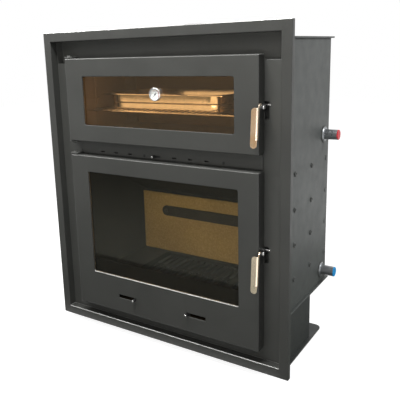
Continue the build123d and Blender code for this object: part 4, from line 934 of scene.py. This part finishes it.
class FIREPLACE_OT_oven(bpy.types.Operator):
    """Enamelled oven liner, rack guides and chromed rack"""

    bl_idname = "fireplace.oven"
    bl_label = "Oven"

    def execute(self, context):
        metal = context.scene.fireplace_metal
        dress(oven_enamel("oven_enamel", metal.liner), "oven_liner", "rack_guides")
        dress(brushed_metal("chromed_wire", metal.rack, 0.14, (60, 60, 60), 0.02), "oven_rack")
        return {"FINISHED"}


class FIREPLACE_OT_tray(bpy.types.Operator):
    """Polished tray with a pressed groove, rounded corners and a turned-down rim"""

    bl_idname = "fireplace.tray"
    bl_label = "Baking Tray"

    def rounded_block(self, name, size, place, radius):
        """A block with rounded upright corners, left open in edit mode."""
        bpy.ops.mesh.primitive_cube_add(size=1, scale=size, location=place)
        block = fix_place()
        block.name = name
        open_edit(block, "EDGE")
        pick(block, "edges", lambda at, edge: climb(edge) > size[2] / 2)
        bpy.ops.mesh.bevel(offset=radius, segments=14, affect="EDGES")
        return block

    def choose_face(self, block, upwards):
        """Select the face that looks up, or down where upwards is -1."""
        bpy.ops.mesh.select_mode(type="FACE")
        bpy.ops.mesh.select_all(action="DESELECT")
        pick(block, "faces", lambda at, face: face.normal.z * upwards > 0.9)

    def execute(self, context):
        tray = context.scene.fireplace_tray
        metal = context.scene.fireplace_metal
        low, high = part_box("baking_tray")
        middle = (low + high) / 2
        wide = high.x - low.x - 2 * tray.rim - 2 * tray.flare
        deep = high.y - low.y - 2 * tray.rim - 2 * tray.flare
        foot = tray.lower_band - TRAY_FOLD
        place = (middle.x, middle.y, low.z + foot / 2)
        pan = self.rounded_block("tray_pan", (wide, deep, foot), place, tray.corner)
        self.choose_face(pan, -1)
        bpy.ops.mesh.bevel(offset=TRAY_FOLD, segments=3, affect="EDGES")
        self.choose_face(pan, 1)
        upper_band = high.z - low.z - foot - sum(rise for rise, share in GROOVE_STEPS)
        profile = [(rise, share * tray.groove) for rise, share in GROOVE_STEPS] + [(upper_band, tray.flare)]
        level = low.z + foot
        for rise, outwards in profile:
            bpy.ops.mesh.extrude_region_move(TRANSFORM_OT_translate={"value": (0, 0, rise)})
            wide, deep, level = wide + 2 * outwards, deep + 2 * outwards, level + rise
            grow = (wide / (wide - 2 * outwards), deep / (deep - 2 * outwards), 1)
            bpy.ops.transform.resize(value=grow, center_override=(middle.x, middle.y, level))
        self.choose_face(pan, 1)
        bpy.ops.mesh.delete(type="ONLY_FACE")
        settle(pan)
        size = (high.x - low.x, high.y - low.y, tray.lip)
        place = (middle.x, middle.y, high.z - tray.lip / 2)
        rim = self.rounded_block("tray_rim", size, place, tray.rim_corner)
        for upwards in (1, -1):
            self.choose_face(rim, upwards)
            bpy.ops.mesh.delete(type="ONLY_FACE")
        settle(rim)
        steel = brushed_metal("tray_steel", metal.tray, 0.14, (220, 8, 8), line=0.04, edge=0.0008)
        whole = joined("polished_tray", [pan, rim], steel, "boiler")
        open_edit(whole, "EDGE")
        flat, top = 0.0001, high.z - 0.0001
        pick(whole, "edges", lambda at, edge: edge.is_boundary and at.z > top and climb(edge) < flat)
        bpy.ops.mesh.fill(use_beauty=True)
        bpy.ops.mesh.select_all(action="SELECT")
        bpy.ops.mesh.normals_make_consistent(inside=False)
        bpy.ops.object.mode_set(mode="OBJECT")
        for kind, values in (("SOLIDIFY", {"thickness": tray.sheet, "offset": -1}),
                             ("BEVEL", {"width": 0.0005, "segments": 2, "angle_limit": math.radians(50)})):
            shaper = whole.modifiers.new(kind.title(), kind)
            for key, value in values.items():
                setattr(shaper, key, value)
            bpy.ops.object.modifier_apply(modifier=shaper.name)
        settle(whole, 35)
        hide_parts("baking_tray")
        return {"FINISHED"}


class FIREPLACE_OT_glass(bpy.types.Operator):
    """Amber ceramic glass of the doors and the thermometer's clear lens"""

    bl_idname = "fireplace.glass"
    bl_label = "Glass"

    def execute(self, context):
        glass = context.scene.fireplace_glass
        dress(stove_glass("amber_glass", glass.oven_tint, glass.ior), "oven_glass")
        dress(stove_glass("fire_door_glass", glass.fire_tint, glass.ior), "fire_glass")
        dress(stove_glass("clear_lens", (0.97, 0.98, 0.98), glass.ior), "thermometer_lens")
        return {"FINISHED"}


class FIREPLACE_OT_seals(bpy.types.Operator):
    """Knitted rope seals of the doors and flat seals of the glass"""

    bl_idname = "fireplace.seals"
    bl_label = "Seals"

    def execute(self, context):
        dress(rope_weave("rope_knit"), "oven_door_rope", "fire_door_rope", "oven_glass_seal",
              "fire_glass_seal")
        return {"FINISHED"}


class FIREPLACE_OT_thermometer(bpy.types.Operator):
    """Dial sheet and needle, with ticks, numbers and coloured bands on the dial"""

    bl_idname = "fireplace.thermometer"
    bl_label = "Thermometer"

    def on_dial(self, middle, radius, angle):
        """A point on the dial, its angle counted clockwise from the top."""
        return Vector((middle.x + radius * math.sin(angle), middle.y, middle.z + radius * math.cos(angle)))

    def ticks(self, name, dial, middle, size, count, material):
        """A row of ticks over the whole scale, each narrower towards the middle."""
        place = self.on_dial(middle, dial.tick_radius, 0)
        bpy.ops.mesh.primitive_cube_add(size=1, scale=size, location=place)
        tick = fix_place()
        open_edit(tick)
        pick(tick, "verts", lambda at, part: at.z < middle.z + dial.tick_radius)
        bpy.ops.transform.resize(value=(TICK_TAPER, 1, 1), center_override=place)
        bpy.ops.mesh.select_all(action="SELECT")
        bpy.ops.mesh.spin(steps=1, dupli=True, angle=-dial.sweep / 2, center=middle, axis=(0, 1, 0))
        # The first six faces are the upright tick that the turn began with
        upright_tick = [face.index for face in bmesh.from_edit_mesh(tick.data).faces][:6]
        bpy.ops.mesh.select_all(action="DESELECT")
        pick(tick, "faces", lambda at, part: part.index in upright_tick)
        bpy.ops.mesh.delete(type="FACE")
        bpy.ops.mesh.select_all(action="SELECT")
        bpy.ops.mesh.spin(steps=count - 1, dupli=True, angle=dial.sweep, center=middle, axis=(0, 1, 0))
        settle(tick)
        return joined(name, [tick], material, "oven_door")

    def band(self, name, dial, middle, steps, material):
        """A coloured band on the dial, between two of the scale's steps."""
        first, last = (dial.sweep / dial.steps * step - dial.sweep / 2 for step in steps)
        place = self.on_dial(middle, BAND_RADIUS, first)
        turn = (math.radians(90), first, 0)
        bpy.ops.mesh.primitive_plane_add(size=BAND_WIDTH, location=place, rotation=turn)
        ring = fix_place()
        open_edit(ring, "VERT")
        across = self.on_dial(Vector((0, 0, 0)), 1, first + math.pi / 2)
        pick(ring, "verts", lambda at, part: (at - place).dot(across) < 0)
        bpy.ops.mesh.delete(type="VERT")
        bpy.ops.mesh.select_all(action="SELECT")
        bpy.ops.mesh.spin(steps=24, dupli=False, angle=first - last, center=middle, axis=(0, 1, 0))
        bpy.ops.mesh.select_all(action="SELECT")
        bpy.ops.mesh.remove_doubles(threshold=0.00001)
        bpy.ops.mesh.extrude_region_move(TRANSFORM_OT_translate={"value": (0, -BAND_DEPTH, 0)})
        bpy.ops.mesh.select_all(action="SELECT")
        bpy.ops.mesh.normals_make_consistent(inside=False)
        settle(ring)
        return joined(name, [ring], material, "oven_door")

    def execute(self, context):
        dial = context.scene.fireplace_dial
        dress(printed_dial("dial_sheet"), "thermometer_dial")
        dress(moulded_plastic("needle_black", (0.02, 0.02, 0.02)), "thermometer_needle")
        ink = moulded_plastic("dial_ink", (0.03, 0.03, 0.03))
        low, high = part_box("thermometer_dial")
        middle = Vector(((low.x + high.x) / 2, low.y - PRINT_HEIGHT, (low.z + high.z) / 2))
        self.ticks("dial_long_ticks", dial, middle, LONG_TICK, dial.steps + 1, ink)
        self.ticks("dial_short_ticks", dial, middle, SHORT_TICK, dial.steps * SHORT_STEPS + 1, ink)
        orange = moulded_plastic("band_orange", (0.62, 0.25, 0.05))
        red = moulded_plastic("band_red", (0.50, 0.03, 0.02))
        self.band("dial_baking_band", dial, middle, BAKING_BAND, orange)
        self.band("dial_hot_band", dial, middle, HOT_BAND, red)
        figures = []
        for index in range(dial.steps + 1):
            angle = dial.sweep / dial.steps * index - dial.sweep / 2
            place = self.on_dial(middle, dial.tick_radius - FIGURE_INSET, angle)
            bpy.ops.object.text_add(location=place, rotation=(math.radians(90), 0, 0))
            figure = context.object
            figure.data.body = str(index * dial.top_mark // dial.steps)
            figure.data.align_x = "CENTER"
            figure.data.align_y = "CENTER"
            figure.data.size = dial.figure_size
            figure.data.extrude = FIGURE_DEPTH
            bpy.ops.object.convert(target="MESH")
            settle(context.object)
            figures.append(context.object)
        joined("dial_numbers", figures, ink, "oven_door")
        return {"FINISHED"}


class FIREPLACE_OT_plugs(bpy.types.Operator):
    """Plastic plugs in the two pipe ends"""

    bl_idname = "fireplace.plugs"
    bl_label = "Pipe Plugs"

    def execute(self, context):
        dress(moulded_plastic("hot_red", (0.72, 0.006, 0.02)), "hot_cap")
        dress(moulded_plastic("return_blue", (0.02, 0.42, 0.98)), "return_cap")
        return {"FINISHED"}


class FIREPLACE_PT_finish(bpy.types.Panel):
    """Steps and settings of the fireplace's finish"""

    bl_idname = "FIREPLACE_PT_finish"
    bl_label = "Fireplace"
    bl_space_type = "VIEW_3D"
    bl_region_type = "UI"
    bl_category = "Fireplace"

    def draw(self, context):
        layout = self.layout
        for group, place in GROUPS.items():
            box = layout.box()
            box.label(text=group.__doc__)
            settings = getattr(context.scene, place)
            for name in group.__annotations__:
                box.prop(settings, name)
        column = layout.column()
        for step in STEPS:
            column.operator(step.bl_idname)


GROUPS = {
    PaintSettings: "fireplace_paint",
    MetalSettings: "fireplace_metal",
    GlassSettings: "fireplace_glass",
    TraySettings: "fireplace_tray",
    DialSettings: "fireplace_dial",
    WeldSettings: "fireplace_welds",
    StageSettings: "fireplace_stage",
}
STEPS = [
    FIREPLACE_OT_stage,
    FIREPLACE_OT_painted_steel,
    FIREPLACE_OT_bare_metal,
    FIREPLACE_OT_knob_domes,
    FIREPLACE_OT_welds,
    FIREPLACE_OT_firebox,
    FIREPLACE_OT_oven,
    FIREPLACE_OT_tray,
    FIREPLACE_OT_glass,
    FIREPLACE_OT_seals,
    FIREPLACE_OT_thermometer,
    FIREPLACE_OT_plugs,
]


def register():
    for group, place in GROUPS.items():
        bpy.utils.register_class(group)
        setattr(bpy.types.Scene, place, PointerProperty(type=group))
    for step in STEPS:
        bpy.utils.register_class(step)
    bpy.utils.register_class(FIREPLACE_PT_finish)


def unregister():
    bpy.utils.unregister_class(FIREPLACE_PT_finish)
    for step in reversed(STEPS):
        bpy.utils.unregister_class(step)
    for group, place in GROUPS.items():
        delattr(bpy.types.Scene, place)
        bpy.utils.unregister_class(group)


def main():
    """Dress the fireplace."""
    register()
    bpy.ops.fireplace.stage()
    bpy.ops.fireplace.painted_steel()
    bpy.ops.fireplace.bare_metal()
    bpy.ops.fireplace.knob_domes()
    bpy.ops.fireplace.welds()
    bpy.ops.fireplace.firebox()
    bpy.ops.fireplace.oven()
    bpy.ops.fireplace.tray()
    bpy.ops.fireplace.glass()
    bpy.ops.fireplace.seals()
    bpy.ops.fireplace.thermometer()
    bpy.ops.fireplace.plugs()


if __name__ == "__main__":
    main()
